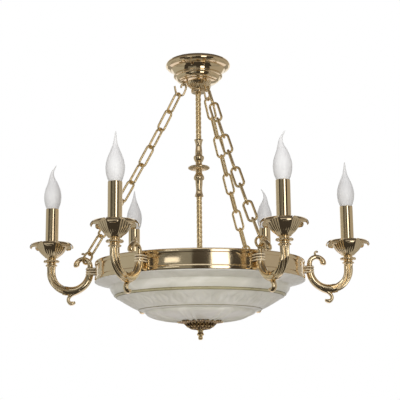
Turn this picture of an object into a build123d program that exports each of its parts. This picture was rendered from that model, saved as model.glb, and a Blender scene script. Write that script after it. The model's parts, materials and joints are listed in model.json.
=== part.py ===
"""Six-arm brass chandelier: a glass bowl in a gallery ring, hung from a ceiling canopy by a stem and chains.

Millimetres, +Z up. The origin is the middle of the ceiling plane, and +X runs through the first arm.
"""

import os
from math import atan2, cos, pi, radians, sin, sqrt, tan

from build123d import *

# Layout of the light
ARM_COUNT = 6
CANDLE_RADIUS = 300.0
RING_RADIUS = 211.5
RING_DROP = 423.3
RING_HEIGHT = 38.7
CHAIN_ANGLES = {"chain_rear": 60.0, "chain_left": 180.0, "chain_front": 300.0}

# Clearances between pieces
ROD_CLEARANCE = 0.15
THREAD_CLEARANCE = 0.05
SCREW_CLEARANCE = 0.25
SEAT_GAP = 0.1
SLEEVE_CLEARANCE = 0.6
CAP_CLEARANCE = 0.25
GLASS_CLEARANCE = 0.5

# Ceiling bracket and its terminal block
BRACKET_LENGTH = 110.0
BRACKET_WIDTH = 20.0
BRACKET_THICKNESS = 2.5
BRACKET_DROP = 12.0
BRACKET_BRIDGE = 44.0
BRACKET_SLOPE = 6.0
BRACKET_HOLE_SPACING = 84.0
BRACKET_HOLE_RADIUS = 2.5
BLOCK_LENGTH = 11.0
BLOCK_WIDTH = 18.0
BLOCK_HEIGHT = 10.0
BLOCK_SCREW_RADIUS = 1.6
BLOCK_SCREW_DEPTH = 4.0

# Tie rod and the nuts on it
ROD_RADIUS = 4.0
ROD_BORE_RADIUS = 2.5
ROD_GRIP = 8.0
NUT_FLATS = 13.0
NUT_HEIGHT = 5.0

# Canopy: a rolled rim, a bell tier and a lower tier, pressed from sheet
CANOPY_RADIUS = 67.5
CANOPY_SHEET = 1.2
CANOPY_RIM_HEIGHT = 5.0
CANOPY_ROLL = 10.0
CANOPY_BELL_RADIUS = 56.3
CANOPY_BELL_HEIGHT = 13.0
CANOPY_TIER_RADIUS = 47.0
CANOPY_TIER_HEIGHT = 9.0
CANOPY_STEP = 2.0
CANOPY_BASE_RADIUS = 38.0

# Hub under the canopy, with an eye for each hook, and the lock collar below it
HUB_HEIGHT = 17.0
HUB_EDGE = 2.0
HUB_SLOPE = 1.4
HUB_COVE_RADIUS = 25.0
HUB_COVE_SAG = 3.5
HUB_FOOT_RADIUS = 14.0
EYE_RADIUS = 30.5
EYE_RING_RADIUS = 3.4
EYE_WIRE = 2.2
EYE_DROP = 5.1
LOCK_RADIUS = 15.0
LOCK_HEIGHT = 8.0
LOCK_ROUND = 2.5

# Chains: hook, links and the end ring that goes round the scroll of an arm
HOOK_WIRE = 3.0
HOOK_WIDTH = 10.0
HOOK_TIP_DROP = 6.5
HOOK_SHANK = 9.0
HOOK_HEIGHT = 24.0
HOOK_LOWER_SHIFT = 6.0
HOOK_LOWER_WIDTH = 14.0
HOOK_LEAN = 3.5
HOOK_TIP_HEIGHT = 20.0
HOOK_UPPER_BEND_SHARE = 0.49
HOOK_LOWER_BEND_SHARE = 0.45
LINK_WIRE = 4.2
LINK_WIDTH = 16.8
LINK_PITCH = 41.8
LINK_GAP = 0.15
HOOK_GAP = 1.0
END_RING_GAP = 1.1
CHAIN_SAG = 4.3
LINK_TWIST = 45.0
LINK_QUARTER_TURN = 90.0
END_RING_LENGTH = 24.5
END_RING_WIDTH = 21.0
END_RING_TWIST = 35.0

# Stem: two tubes with a turned knop between them
STEM_RADIUS = 5.5
KNOP_DROP = 226.5
DISC_RADIUS = 22.5
DISC_EDGE = 1.6
DISC_LENS = 5.5
DISC_HALF = 9.5
KNOP_NECK_RADIUS = 6.5
CUP_LENGTH = 17.5
CUP_RADIUS = 11.0
FERRULE_LENGTH = 33.0
FERRULE_RADIUS = 7.6
FERRULE_WAIST_RADIUS = 6.4
FERRULE_FLARE_RADIUS = 9.3
FERRULE_FLARE = 11.0

# Gallery ring: a band between two lips
RING_WALL = 2.2
RING_LIP = 1.8
RING_TOP_LIP_HEIGHT = 7.8
RING_BOTTOM_LIP_HEIGHT = 9.0
RING_EDGE = 0.8

# Spider: a leg to each arm, ending in a tab under the arm's screw
SPIDER_HUB_RADIUS = 15.0
SPIDER_THICKNESS = 3.0
SPIDER_LEG_WIDTH = 12.0
SPIDER_RISE = 9.5
TAB_HEIGHT = 17.0
TAB_THICKNESS = 2.5
SCREW_RADIUS = 2.5
SCREW_HEAD_RADIUS = 4.4
SCREW_HEAD_HEIGHT = 3.0
SCREW_GRIP = 9.0

# Arms: cast, with boss, scroll, bud and tail
ARM_BOSS_DROP = 16.2
ARM_REACH = 12.3
BOSS_HEIGHT = 14.4
BOSS_WIDTH = 12.4
REED_WIDTH = 15.0
REED_COUNT = 3
REED_HEIGHT = 3.6
ARM_LEG = 9.5
ARM_OUTER_RADIUS = 8.0
ARM_MIDDLE_RADIUS = 7.4
ARM_INNER_RADIUS = 6.3
SCROLL_RISE = 12.0
SCROLL_RADIUS = 13.6
SCROLL_START_RADIUS = 5.2
SCROLL_END_RADIUS = 4.0
SCROLL_BALL_RADIUS = 6.0
SCROLL_BALL_DROP = 0.5
BUD_LENGTH = 11.5
BUD_RADIUS = 3.2
BUD_TIP_RADIUS = 1.7
BUD_BAR = 7.0
TAIL_RADIUS = 3.6
TAIL_BALL_RADIUS = 4.5
TAIL_START_ANGLE = 250.0
TAIL_REACH = 16.0
TAIL_DROP = 17.0
TAIL_CURL_WIDTH = 12.6
TAIL_CURL_DROP = 6.0

# Candle: collar, drip pan, nipple, lamp holder and sleeve
NIPPLE_RADIUS = 5.0
NIPPLE_GRIP = 8.0
COLLAR_HEIGHT = 18.5
COLLAR_NECK_RADIUS = 8.6
COLLAR_LOW_RADIUS = 12.0
COLLAR_BEAD_RADIUS = 16.2
PAN_RADIUS = 43.6
PAN_HEIGHT = 31.2
PAN_FOOT_RADIUS = 10.0
PAN_CUP_RADIUS = 30.0
PAN_SHEET = 1.3
PAN_FLOOR = 5.5
PAN_CURL = 10.0
PAN_LIP_HEIGHT = 5.5
PAN_CUP_SAG = 1.0
PAN_SEAT = 0.4
PAN_SLANT = 1.4
PAN_PETALS = 8
PAN_NOTCH_RADIUS = 7.0
PAN_NOTCH_DEPTH = 8.5
SLEEVE_RADIUS = 13.2
SLEEVE_WALL = 1.0
SLEEVE_LENGTH = 95.5

# Lamps: bent-tip candle bulbs above, round bulbs in the bowl, both on the same screw cap
CAP_RADIUS = 6.9
CAP_LENGTH = 19.0
CONTACT_RADIUS = 3.0
CONTACT_HEIGHT = 2.0
HOLDER_RIM = 1.0
BULB_RADIUS = 17.6
BULB_BELLY = 25.0
BULB_SHOULDER = 47.0
BULB_SHOULDER_RADIUS = 13.4
BULB_NECK = 63.0
BULB_NECK_RADIUS = 6.2
BULB_LENGTH = 92.0
BULB_TIP_RADIUS = 0.9
BULB_TIP_TAPER = 0.6
BULB_BEND = 7.5
BULB_SINK = 11.0
BULB_GLASS = 1.0
BULB_TURNS = (265.0, 180.0, 90.0, 0.0, 280.0, 0.0)
ROUND_BULB_RADIUS = 22.5
ROUND_BULB_LENGTH = 53.0
ROUND_BULB_NECK = 12.0
CLUSTER_COUNT = 3
CLUSTER_FIRST_ANGLE = 30.0
CLUSTER_DROP = 47.0
CLUSTER_RADIUS = 16.0
CLUSTER_HEIGHT = 22.0
CLUSTER_HOLDER_RADIUS = 11.0
CLUSTER_HOLDER_LENGTH = 30.0
CLUSTER_STUB = 6.0

# Glass bowl: flange, upper tier, lower dome
BOWL_WALL = 5.0
BOWL_DEPTH = 84.5
BOWL_LIP_HEIGHT = 6.0
BOWL_FLANGE_DEPTH = 15.5
BOWL_FLANGE_EDGE = 9.0
BOWL_FLANGE_ROUND = 7.0
BOWL_TIER_RADIUS = 178.0
BOWL_TIER_STEP = 3.5
BOWL_TIER_DEPTH = 59.0
BOWL_TIER_SAG = 6.0
BOWL_DOME_RADIUS = 112.0
BOWL_DOME_LEDGE = 5.0
BOWL_DOME_STEP = 4.0
BOWL_DOME_SAG = 5.0
BOWL_PAD_RADIUS = 19.0
BOWL_HOLE_RADIUS = 6.0

# Gasket, rosette and finial drop under the bowl, washer inside it
GASKET_RADIUS = 16.0
GASKET_THICKNESS = 2.0
ROSETTE_RADIUS = 47.5
ROSETTE_HEIGHT = 11.0
ROSETTE_RISE = 2.9
ROSETTE_EDGE = 1.6
ROSETTE_FOOT_RADIUS = 9.0
ROSETTE_LOBES = 12
ROSETTE_NOTCH_RADIUS = 4.0
DROP_LENGTH = 19.0
DROP_NECK_RADIUS = 6.4
DROP_BEAD_RADIUS = 7.2
DROP_BEAD_DROP = 6.4
DROP_WAIST_RADIUS = 4.0
DROP_BALL_RADIUS = 5.0

# Heights worked out from the sizes above
ring_top = -RING_DROP
ring_bottom = ring_top - RING_HEIGHT
arm_z = ring_top - ARM_BOSS_DROP
arm_top = arm_z + ARM_LEG
pan_bottom = arm_top + COLLAR_HEIGHT
pan_floor = pan_bottom + PAN_FLOOR
sleeve_top = pan_floor + SLEEVE_LENGTH
bridge_top = -BRACKET_DROP
bridge_bottom = bridge_top - BRACKET_THICKNESS
roll_bottom = -CANOPY_RIM_HEIGHT - CANOPY_ROLL
bell_top = roll_bottom - CANOPY_STEP
bell_bottom = bell_top - CANOPY_BELL_HEIGHT
tier_top = bell_bottom - CANOPY_STEP
canopy_base = tier_top - CANOPY_TIER_HEIGHT
hub_bottom = canopy_base - HUB_HEIGHT
lock_bottom = hub_bottom - LOCK_HEIGHT
knop_z = -KNOP_DROP
cup_reach = DISC_HALF + CUP_LENGTH
ferrule_reach = cup_reach + FERRULE_LENGTH
spider_top = arm_z + SPIDER_RISE
spider_bottom = spider_top - SPIDER_THICKNESS
cluster_z = ring_top - CLUSTER_DROP
cluster_top = cluster_z + CLUSTER_HEIGHT / 2
cluster_bottom = cluster_z - CLUSTER_HEIGHT / 2
bowl_top = ring_bottom - SEAT_GAP
bowl_bottom = bowl_top - BOWL_DEPTH
bowl_floor = bowl_bottom + BOWL_WALL
gasket_bottom = bowl_bottom - GASKET_THICKNESS
rosette_bottom = gasket_bottom - ROSETTE_HEIGHT
drop_bottom = rosette_bottom - DROP_LENGTH

# Radii worked out from the sizes above
ring_band = RING_RADIUS - RING_LIP
ring_inside = ring_band - RING_WALL
rod_hole = ROD_RADIUS + ROD_CLEARANCE
nipple_hole = NIPPLE_RADIUS + THREAD_CLEARANCE
arm_inner = ring_band + ARM_REACH
arc_radius = (CANDLE_RADIUS - arm_inner) / 2
arc_centre = arm_inner + arc_radius
scroll_centre = arm_inner + SCROLL_RADIUS
scroll_z = arm_z + SCROLL_RISE
sleeve_bore = SLEEVE_RADIUS - SLEEVE_WALL
sleeve_seat = SLEEVE_RADIUS + PAN_SEAT + PAN_SLANT * PAN_SHEET
holder_radius = sleeve_bore - SLEEVE_CLEARANCE
cap_bore = CAP_RADIUS + CAP_CLEARANCE
cap_depth = CAP_LENGTH + CONTACT_HEIGHT
bulb_seat_radius = sleeve_bore - GLASS_CLEARANCE
arm_angles = [360.0 / ARM_COUNT * i for i in range(ARM_COUNT)]
cluster_angles = [CLUSTER_FIRST_ANGLE + 360.0 / CLUSTER_COUNT * i for i in range(CLUSTER_COUNT)]

os.makedirs("parts", exist_ok=True)


def save(part, name):
    """Label one piece and write it as its own file."""
    part.label = name
    export_step(part, f"parts/{name}.step")


def turned(*outline):
    """Solid of revolution about Z from a closed outline of (radius, height) points."""
    with BuildPart() as solid:
        with BuildSketch(Plane.XZ):
            with BuildLine():
                Polyline(*outline, close=True)
            make_face()
        revolve(axis=Axis.Z)
    return solid.part


def around(part, angles):
    """Separate copies of a piece, turned about Z to each of the angles."""
    with BuildPart() as group:
        for angle in angles:
            add(part.rotate(Axis.Z, angle))
    return group.part


def oval(length, width, wire):
    """Closed oval of round wire: its long axis along local X, measured at the middle of the wire."""
    end = (length - width) / 2
    with BuildPart() as ring:
        with BuildLine():
            top = Line((-end, width / 2), (end, width / 2))
            right = ThreePointArc(top @ 1, (length / 2, 0), (end, -width / 2))
            bottom = Line(right @ 1, (-end, -width / 2))
            ThreePointArc(bottom @ 1, (-length / 2, 0), top @ 0)
        with BuildSketch(Plane.YZ):
            with Locations((width / 2, 0)):
                Circle(wire / 2)
        sweep()
    return ring.part


# Ceiling bracket: a strap that steps down under the ceiling to leave room for the rod's nut
half_length = BRACKET_LENGTH / 2
half_bridge = BRACKET_BRIDGE / 2
half_foot = half_bridge + BRACKET_SLOPE
inner_shift = BRACKET_THICKNESS * BRACKET_SLOPE / BRACKET_DROP
with BuildPart() as ceiling_bracket:
    with BuildSketch(Plane.XZ) as bracket_side:
        with BuildLine():
            Polyline(
                (0, bridge_top),
                (half_bridge - inner_shift, bridge_top),
                (half_foot - inner_shift, 0),
                (half_length, 0),
                (half_length, -BRACKET_THICKNESS),
                (half_foot, -BRACKET_THICKNESS),
                (half_bridge, bridge_bottom),
                (0, bridge_bottom),
                close=True,
            )
        make_face()
        mirror(about=Plane.YZ)
    extrude(amount=BRACKET_WIDTH / 2, both=True)
    with Locations((0, 0, bridge_top)):
        Hole(rod_hole)
    with GridLocations(BRACKET_HOLE_SPACING, 0, 2, 1):
        Hole(BRACKET_HOLE_RADIUS)
save(ceiling_bracket.part, "ceiling_bracket")

# Terminal block, screwed under the bracket beside the rod's nut
with BuildPart() as terminal_block:
    with Locations((half_bridge - BLOCK_LENGTH / 2, 0, bridge_bottom)):
        Box(BLOCK_LENGTH, BLOCK_WIDTH, BLOCK_HEIGHT, align=(Align.CENTER, Align.CENTER, Align.MAX))
    with Locations(terminal_block.faces().sort_by(Axis.Z)[0]):
        with GridLocations(BLOCK_LENGTH / 2, BLOCK_WIDTH / 3, 2, 3):
            Hole(BLOCK_SCREW_RADIUS, depth=BLOCK_SCREW_DEPTH)
save(terminal_block.part, "terminal_block")

# Tie rod: a threaded tube from the bracket through the whole stem into the finial
rod_top = bridge_top + NUT_HEIGHT
rod_bottom = rosette_bottom - ROD_GRIP
tie_rod = turned(
    (ROD_BORE_RADIUS, rod_top), (ROD_RADIUS, rod_top), (ROD_RADIUS, rod_bottom), (ROD_BORE_RADIUS, rod_bottom)
)
save(tie_rod, "tie_rod")

# Hexagon nuts on the rod, each given by the height of its lower face
washer_top = bowl_floor + GASKET_THICKNESS
nut_levels = [
    bridge_top,
    bridge_bottom - NUT_HEIGHT,
    spider_bottom - NUT_HEIGHT,
    cluster_top,
    cluster_bottom - NUT_HEIGHT,
    washer_top,
]
with BuildPart() as rod_nuts:
    for level in nut_levels:
        with BuildSketch(Plane.XY.offset(level)):
            RegularPolygon(NUT_FLATS / 2, 6, major_radius=False)
            Circle(rod_hole, mode=Mode.SUBTRACT)
        extrude(amount=NUT_HEIGHT)
save(rod_nuts.part, "rod_nuts")

# Canopy: pressed sheet with a rolled rim, a bell tier and a lower tier
roll_radius = CANOPY_RADIUS - CANOPY_ROLL
with BuildPart() as canopy:
    with BuildSketch(Plane.XZ):
        with BuildLine():
            rim = Line((CANOPY_RADIUS, 0), (CANOPY_RADIUS, -CANOPY_RIM_HEIGHT))
            roll = CenterArc((roll_radius, -CANOPY_RIM_HEIGHT), CANOPY_ROLL, 0, -90)
            Polyline(
                roll @ 1,
                (CANOPY_BELL_RADIUS, roll_bottom),
                (CANOPY_BELL_RADIUS, bell_top),
                (CANOPY_TIER_RADIUS + CANOPY_STEP, bell_bottom),
                (CANOPY_TIER_RADIUS, bell_bottom),
                (CANOPY_TIER_RADIUS, tier_top),
                (CANOPY_BASE_RADIUS, canopy_base),
                (rod_hole, canopy_base),
            )
            offset(amount=CANOPY_SHEET, side=Side.RIGHT, kind=Kind.INTERSECTION)
        make_face()
    revolve(axis=Axis.Z)
save(canopy.part, "canopy")

# Hub: a turned flange and cove below the canopy, with an eye for each hook
eye_z = canopy_base - EYE_DROP
with BuildPart() as canopy_hub:
    with BuildSketch(Plane.XZ):
        with BuildLine():
            flange = Polyline(
                (rod_hole, hub_bottom),
                (rod_hole, canopy_base),
                (CANOPY_BASE_RADIUS, canopy_base),
                (CANOPY_BASE_RADIUS, canopy_base - HUB_EDGE),
                (HUB_COVE_RADIUS, canopy_base - HUB_EDGE - HUB_SLOPE),
            )
            cove = SagittaArc(flange @ 1, (HUB_FOOT_RADIUS, hub_bottom), HUB_COVE_SAG)
            Line(cove @ 1, flange @ 0)
        make_face()
    revolve(axis=Axis.Z)
    for angle in CHAIN_ANGLES.values():
        eye_place = Location((0, 0, eye_z), (0, 0, angle)) * Location((EYE_RADIUS, 0, 0), (0, 90, 0))
        with Locations(eye_place):
            Torus(EYE_RING_RADIUS, EYE_WIRE / 2)
save(canopy_hub.part, "canopy_hub")

# Lock collar, screwed on the rod below the hub
with BuildPart() as canopy_nut:
    with BuildSketch(Plane.XY.offset(lock_bottom)):
        Circle(LOCK_RADIUS)
        Circle(rod_hole, mode=Mode.SUBTRACT)
    extrude(amount=LOCK_HEIGHT)
    rims = canopy_nut.edges().filter_by(GeomType.CIRCLE).group_by(SortBy.RADIUS)[-1]
    fillet(rims, LOCK_ROUND)
save(canopy_nut.part, "canopy_nut")

# S-hook of each chain: its upper bend hangs in an eye of the hub, its lower bend carries the first link
hook_top = eye_z - EYE_RING_RADIUS + (EYE_WIRE + HOOK_WIRE) / 2 + SEAT_GAP
hook_bottom = hook_top - HOOK_HEIGHT
hook_inside = EYE_RADIUS - HOOK_WIDTH / 2
hook_outside = EYE_RADIUS + HOOK_WIDTH / 2
hook_heel = hook_inside + HOOK_LOWER_SHIFT
hook_toe = hook_heel + HOOK_LOWER_WIDTH
upper_bend = HOOK_UPPER_BEND_SHARE * HOOK_WIDTH
lower_bend = HOOK_LOWER_BEND_SHARE * HOOK_LOWER_WIDTH
toe_turn = pi / 2 - atan2(HOOK_LEAN, HOOK_TIP_HEIGHT)
with BuildPart() as chain_hook:
    with BuildLine(Plane.XZ) as hook_path:
        FilletPolyline(
            (hook_outside, hook_top - HOOK_TIP_DROP),
            (hook_outside, hook_top),
            (hook_inside, hook_top),
            (hook_inside, hook_top - HOOK_SHANK),
            (hook_heel, hook_bottom),
            (hook_toe, hook_bottom),
            (hook_toe + HOOK_LEAN, hook_bottom + HOOK_TIP_HEIGHT),
            radius=(upper_bend, upper_bend, HOOK_SHANK, lower_bend, lower_bend),
        )
    with BuildSketch(Plane(hook_path.line @ 0, z_dir=hook_path.line % 0)):
        Circle(HOOK_WIRE / 2)
    sweep(path=hook_path.line)
save(around(chain_hook.part, CHAIN_ANGLES.values()), "chain_hooks")

# Chains: from the hook's lower bend to the scroll of an arm, sagging a little in the plane through the axis
hook_seat = Vector(hook_toe - lower_bend * tan(toe_turn / 2), 0, hook_bottom + lower_bend)
scroll_middle = Vector(scroll_centre, 0, scroll_z)
chain_line = (scroll_middle - hook_seat).normalized()
sag_line = Vector(chain_line.Z, 0, -chain_line.X)
scroll_share = atan2(-chain_line.Z, chain_line.X) / pi
stroke_radius = SCROLL_START_RADIUS + (SCROLL_END_RADIUS - SCROLL_START_RADIUS) * scroll_share
seat_reach = lower_bend - (HOOK_WIRE + LINK_WIRE) / 2 - HOOK_GAP
ring_reach = SCROLL_RADIUS - stroke_radius - LINK_WIRE / 2 - END_RING_GAP
chain_start = hook_seat + chain_line * seat_reach
ring_end = scroll_middle - chain_line * ring_reach
ring_start = ring_end - chain_line * END_RING_LENGTH
chain_length = (ring_start - chain_start).length
link_count = round(chain_length / LINK_PITCH)


def chain_point(share):
    """Point of the sagging chain, from 0 at the hook to 1 at the end ring."""
    return chain_start + chain_line * (share * chain_length) + sag_line * (4 * CHAIN_SAG * share * (1 - share))


def chain_place(middle, run, twist):
    """Place of a link: its long axis along the run, turned about it by the twist in degrees."""
    across = Vector(0, 1, 0)
    side = across * cos(radians(twist)) + across.cross(run) * sin(radians(twist))
    return Plane(middle, x_dir=run, z_dir=run.cross(side)).location


with BuildPart() as chain:
    for i in range(link_count):
        link_start = chain_point(i / link_count)
        link_end = chain_point((i + 1) / link_count)
        link_run = (link_end - link_start).normalized()
        link_length = (link_end - link_start).length + LINK_WIRE + LINK_GAP
        link_twist = LINK_TWIST if (link_count - i) % 2 else LINK_TWIST - LINK_QUARTER_TURN
        link_place = chain_place(link_start + link_run * (link_length / 2), link_run, link_twist)
        add(oval(link_length, LINK_WIDTH, LINK_WIRE).moved(link_place))
    ring_place = chain_place((ring_start + ring_end) / 2, chain_line, -END_RING_TWIST)
    add(oval(END_RING_LENGTH, END_RING_WIDTH, LINK_WIRE).moved(ring_place))
for name, angle in CHAIN_ANGLES.items():
    save(chain.part.rotate(Axis.Z, angle), name)

# Stem tubes, from the lock collar to the knop and from the knop to the spider
knop_top = knop_z + ferrule_reach
knop_bottom = knop_z - ferrule_reach
for name, top, bottom in (
    ("stem_tube_upper", lock_bottom, knop_top),
    ("stem_tube_lower", knop_bottom, spider_top),
):
    save(turned((rod_hole, top), (STEM_RADIUS, top), (STEM_RADIUS, bottom), (rod_hole, bottom)), name)

# Knop: a lens disc between two cups and two flared ferrules, which mirror each other
knop_disc = turned(
    (rod_hole, DISC_HALF),
    (KNOP_NECK_RADIUS, DISC_HALF),
    (KNOP_NECK_RADIUS, DISC_LENS),
    (DISC_RADIUS, DISC_EDGE / 2),
    (DISC_RADIUS, -DISC_EDGE / 2),
    (KNOP_NECK_RADIUS, -DISC_LENS),
    (KNOP_NECK_RADIUS, -DISC_HALF),
    (rod_hole, -DISC_HALF),
)
save(knop_disc.moved(Location((0, 0, knop_z))), "knop_disc")

with BuildPart() as knop_cup:
    with BuildSketch(Plane.XZ):
        with BuildLine():
            cup_side = Polyline((FERRULE_RADIUS, cup_reach), (rod_hole, cup_reach), (rod_hole, DISC_HALF))
            cup_foot = Line(cup_side @ 1, (KNOP_NECK_RADIUS, DISC_HALF))
            ThreePointArc(cup_foot @ 1, (CUP_RADIUS, cup_reach - CUP_LENGTH / 3), cup_side @ 0)
        make_face()
    revolve(axis=Axis.Z)

with BuildPart() as stem_ferrule:
    with BuildSketch(Plane.XZ):
        with BuildLine():
            waist = ferrule_reach - FERRULE_FLARE
            ferrule_side = Polyline(
                (FERRULE_FLARE_RADIUS, ferrule_reach),
                (rod_hole, ferrule_reach),
                (rod_hole, cup_reach),
                (FERRULE_RADIUS, cup_reach),
                (FERRULE_WAIST_RADIUS, waist),
            )
            TangentArc(ferrule_side @ 1, ferrule_side @ 0, tangent=ferrule_side % 1)
        make_face()
    revolve(axis=Axis.Z)

for piece, name in ((knop_cup, "knop_cup"), (stem_ferrule, "stem_ferrule")):
    upper = piece.part.moved(Location((0, 0, knop_z)))
    save(upper, f"{name}_upper")
    save(upper.mirror(Plane.XY.offset(knop_z)), f"{name}_lower")

# Gallery ring: a band between two lips, with a hole for the screw of each arm
screw_hole = SCREW_RADIUS + SCREW_CLEARANCE
ring_cut = 4 * RING_WALL
with BuildPart() as gallery_ring:
    with BuildSketch(Plane.XZ) as ring_section:
        with BuildLine():
            Polyline(
                (ring_inside, ring_top),
                (RING_RADIUS, ring_top),
                (RING_RADIUS, ring_top - RING_TOP_LIP_HEIGHT),
                (ring_band, ring_top - RING_TOP_LIP_HEIGHT),
                (ring_band, ring_bottom + RING_BOTTOM_LIP_HEIGHT),
                (RING_RADIUS, ring_bottom + RING_BOTTOM_LIP_HEIGHT),
                (RING_RADIUS, ring_bottom),
                (ring_inside, ring_bottom),
                close=True,
            )
        make_face()
        fillet(ring_section.vertices().group_by(Axis.X)[-1], RING_EDGE)
    revolve(axis=Axis.Z)
    for angle in arm_angles:
        with Locations(Location((0, 0, arm_z), (0, 0, angle)) * Location((ring_inside, 0, 0), (0, 90, 0))):
            Cylinder(screw_hole, ring_cut, mode=Mode.SUBTRACT)
save(gallery_ring.part, "gallery_ring")

# Spider: flat legs from the rod to the ring, each with a tab behind the ring's wall
tab_face = ring_inside - SEAT_GAP - TAB_THICKNESS
tab_cut = 4 * TAB_THICKNESS
with BuildPart() as spider:
    with BuildSketch(Plane.XY.offset(spider_bottom)):
        Circle(SPIDER_HUB_RADIUS)
        with PolarLocations(0, ARM_COUNT):
            Rectangle(ring_inside, SPIDER_LEG_WIDTH, align=(Align.MIN, Align.CENTER))
    extrude(amount=SPIDER_THICKNESS)
    with BuildSketch(Plane.XY.offset(spider_top)):
        with PolarLocations(tab_face, ARM_COUNT):
            Rectangle(2 * TAB_THICKNESS, SPIDER_LEG_WIDTH, align=(Align.MIN, Align.CENTER))
    extrude(amount=-TAB_HEIGHT)
    with Locations((0, 0, spider_top)):
        Cylinder(ring_inside - SEAT_GAP, 2 * TAB_HEIGHT + SPIDER_THICKNESS, mode=Mode.INTERSECT)
        Hole(rod_hole)
    for angle in arm_angles:
        with Locations(Location((0, 0, arm_z), (0, 0, angle)) * Location((tab_face, 0, 0), (0, 90, 0))):
            Cylinder(screw_hole, tab_cut, mode=Mode.SUBTRACT)
save(spider.part, "spider")

# Screws that clamp tab, ring and arm together, driven from inside the ring
screw_end = ring_band + SCREW_GRIP
with BuildPart() as arm_screw:
    with BuildSketch(Plane.YZ.offset(tab_face)):
        with Locations((0, arm_z)):
            Circle(SCREW_HEAD_RADIUS)
    extrude(amount=-SCREW_HEAD_HEIGHT)
    with BuildSketch(Plane.YZ.offset(tab_face)):
        with Locations((0, arm_z)):
            Circle(SCREW_RADIUS)
    extrude(amount=screw_end - tab_face)
save(around(arm_screw.part, arm_angles), "arm_screws")

# Arm: one casting, made in the plane of the first arm
tail_angle = radians(TAIL_START_ANGLE)
tail_start = (arc_centre + arc_radius * cos(tail_angle), arm_z + arc_radius * sin(tail_angle))
tail_turn = (tail_start[0] + TAIL_REACH, tail_start[1] - TAIL_DROP)
tail_end = (tail_turn[0] - TAIL_CURL_WIDTH, tail_turn[1] - TAIL_CURL_DROP)
scroll_end = (scroll_centre + SCROLL_RADIUS, scroll_z - SCROLL_BALL_DROP)
bud_base = scroll_z + SCROLL_RADIUS
bud_top = bud_base + BUD_LENGTH
reed_step = BOSS_HEIGHT / REED_COUNT
reed_start = arm_z - BOSS_HEIGHT / 2 + (reed_step - REED_HEIGHT) / 2
boss_levels = [(arm_z - BOSS_HEIGHT / 2, BOSS_HEIGHT, BOSS_WIDTH)]
boss_levels += [(reed_start + i * reed_step, REED_HEIGHT, REED_WIDTH) for i in range(REED_COUNT)]
with BuildPart() as arm:
    with BuildLine(Plane.XZ) as bow:
        CenterArc((arc_centre, arm_z), arc_radius, 0, -180)
    for share, radius in ((0, ARM_OUTER_RADIUS), (0.5, ARM_MIDDLE_RADIUS), (1, ARM_INNER_RADIUS)):
        with BuildSketch(Plane(bow.line @ share, z_dir=bow.line % share)):
            Circle(radius)
    sweep(path=bow.line, multisection=True)
    with Locations((CANDLE_RADIUS, 0, arm_z)):
        Cylinder(ARM_OUTER_RADIUS, ARM_LEG, align=(Align.CENTER, Align.CENTER, Align.MIN))
    with Locations((arm_inner, 0, arm_z)):
        Cone(
            ARM_INNER_RADIUS,
            SCROLL_START_RADIUS,
            SCROLL_RISE,
            align=(Align.CENTER, Align.CENTER, Align.MIN),
        )
    with BuildLine(Plane.XZ) as scroll:
        CenterArc((scroll_centre, scroll_z), SCROLL_RADIUS, 180, -180)
    for share, radius in ((0, SCROLL_START_RADIUS), (1, SCROLL_END_RADIUS)):
        with BuildSketch(Plane(scroll.line @ share, z_dir=scroll.line % share)):
            Circle(radius)
    sweep(path=scroll.line, multisection=True)
    with Locations((scroll_end[0], 0, scroll_end[1])):
        Sphere(SCROLL_BALL_RADIUS)
    with Locations((scroll_centre, 0, bud_base)):
        Cone(BUD_RADIUS, BUD_TIP_RADIUS, BUD_LENGTH, align=(Align.CENTER, Align.CENTER, Align.MIN))
    with Locations(Location((scroll_centre, 0, bud_top), (0, 90, 0))):
        Cylinder(BUD_TIP_RADIUS, BUD_BAR)
    with BuildLine(Plane.XZ) as tail:
        lead = TangentArc(tail_start, tail_turn, tangent=(-sin(tail_angle), cos(tail_angle)))
        TangentArc(tail_turn, tail_end, tangent=lead % 1)
    with BuildSketch(Plane(tail.line @ 0, z_dir=tail.line % 0)):
        Circle(TAIL_RADIUS)
    sweep(path=tail.line)
    with Locations((tail_end[0], 0, tail_end[1])):
        Sphere(TAIL_BALL_RADIUS)
    for level, height, width in boss_levels:
        with BuildSketch(Plane.XY.offset(level)):
            with Locations((arm_inner, 0)):
                Circle(width / 2)
                Rectangle(ARM_REACH + RING_WALL, width, align=(Align.MAX, Align.CENTER))
        extrude(amount=height)
    with Locations((0, 0, arm_z)):
        Cylinder(ring_band + SEAT_GAP, RING_HEIGHT, mode=Mode.SUBTRACT)
    with Locations(Location((ring_band, 0, arm_z), (0, 90, 0))):
        Cylinder(
            SCREW_RADIUS + THREAD_CLEARANCE,
            SCREW_GRIP + SEAT_GAP,
            align=(Align.CENTER, Align.CENTER, Align.MIN),
            mode=Mode.SUBTRACT,
        )
    with Locations((CANDLE_RADIUS, 0, arm_top)):
        Hole(nipple_hole, depth=NIPPLE_GRIP + SEAT_GAP)
for i, angle in enumerate(arm_angles, start=1):
    save(arm.part.rotate(Axis.Z, angle), f"arm_{i}")


def at_candles(part):
    """Separate copies of a piece made about Z, one on the axis of each candle."""
    return around(part.moved(Location((CANDLE_RADIUS, 0, 0))), arm_angles)


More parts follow.
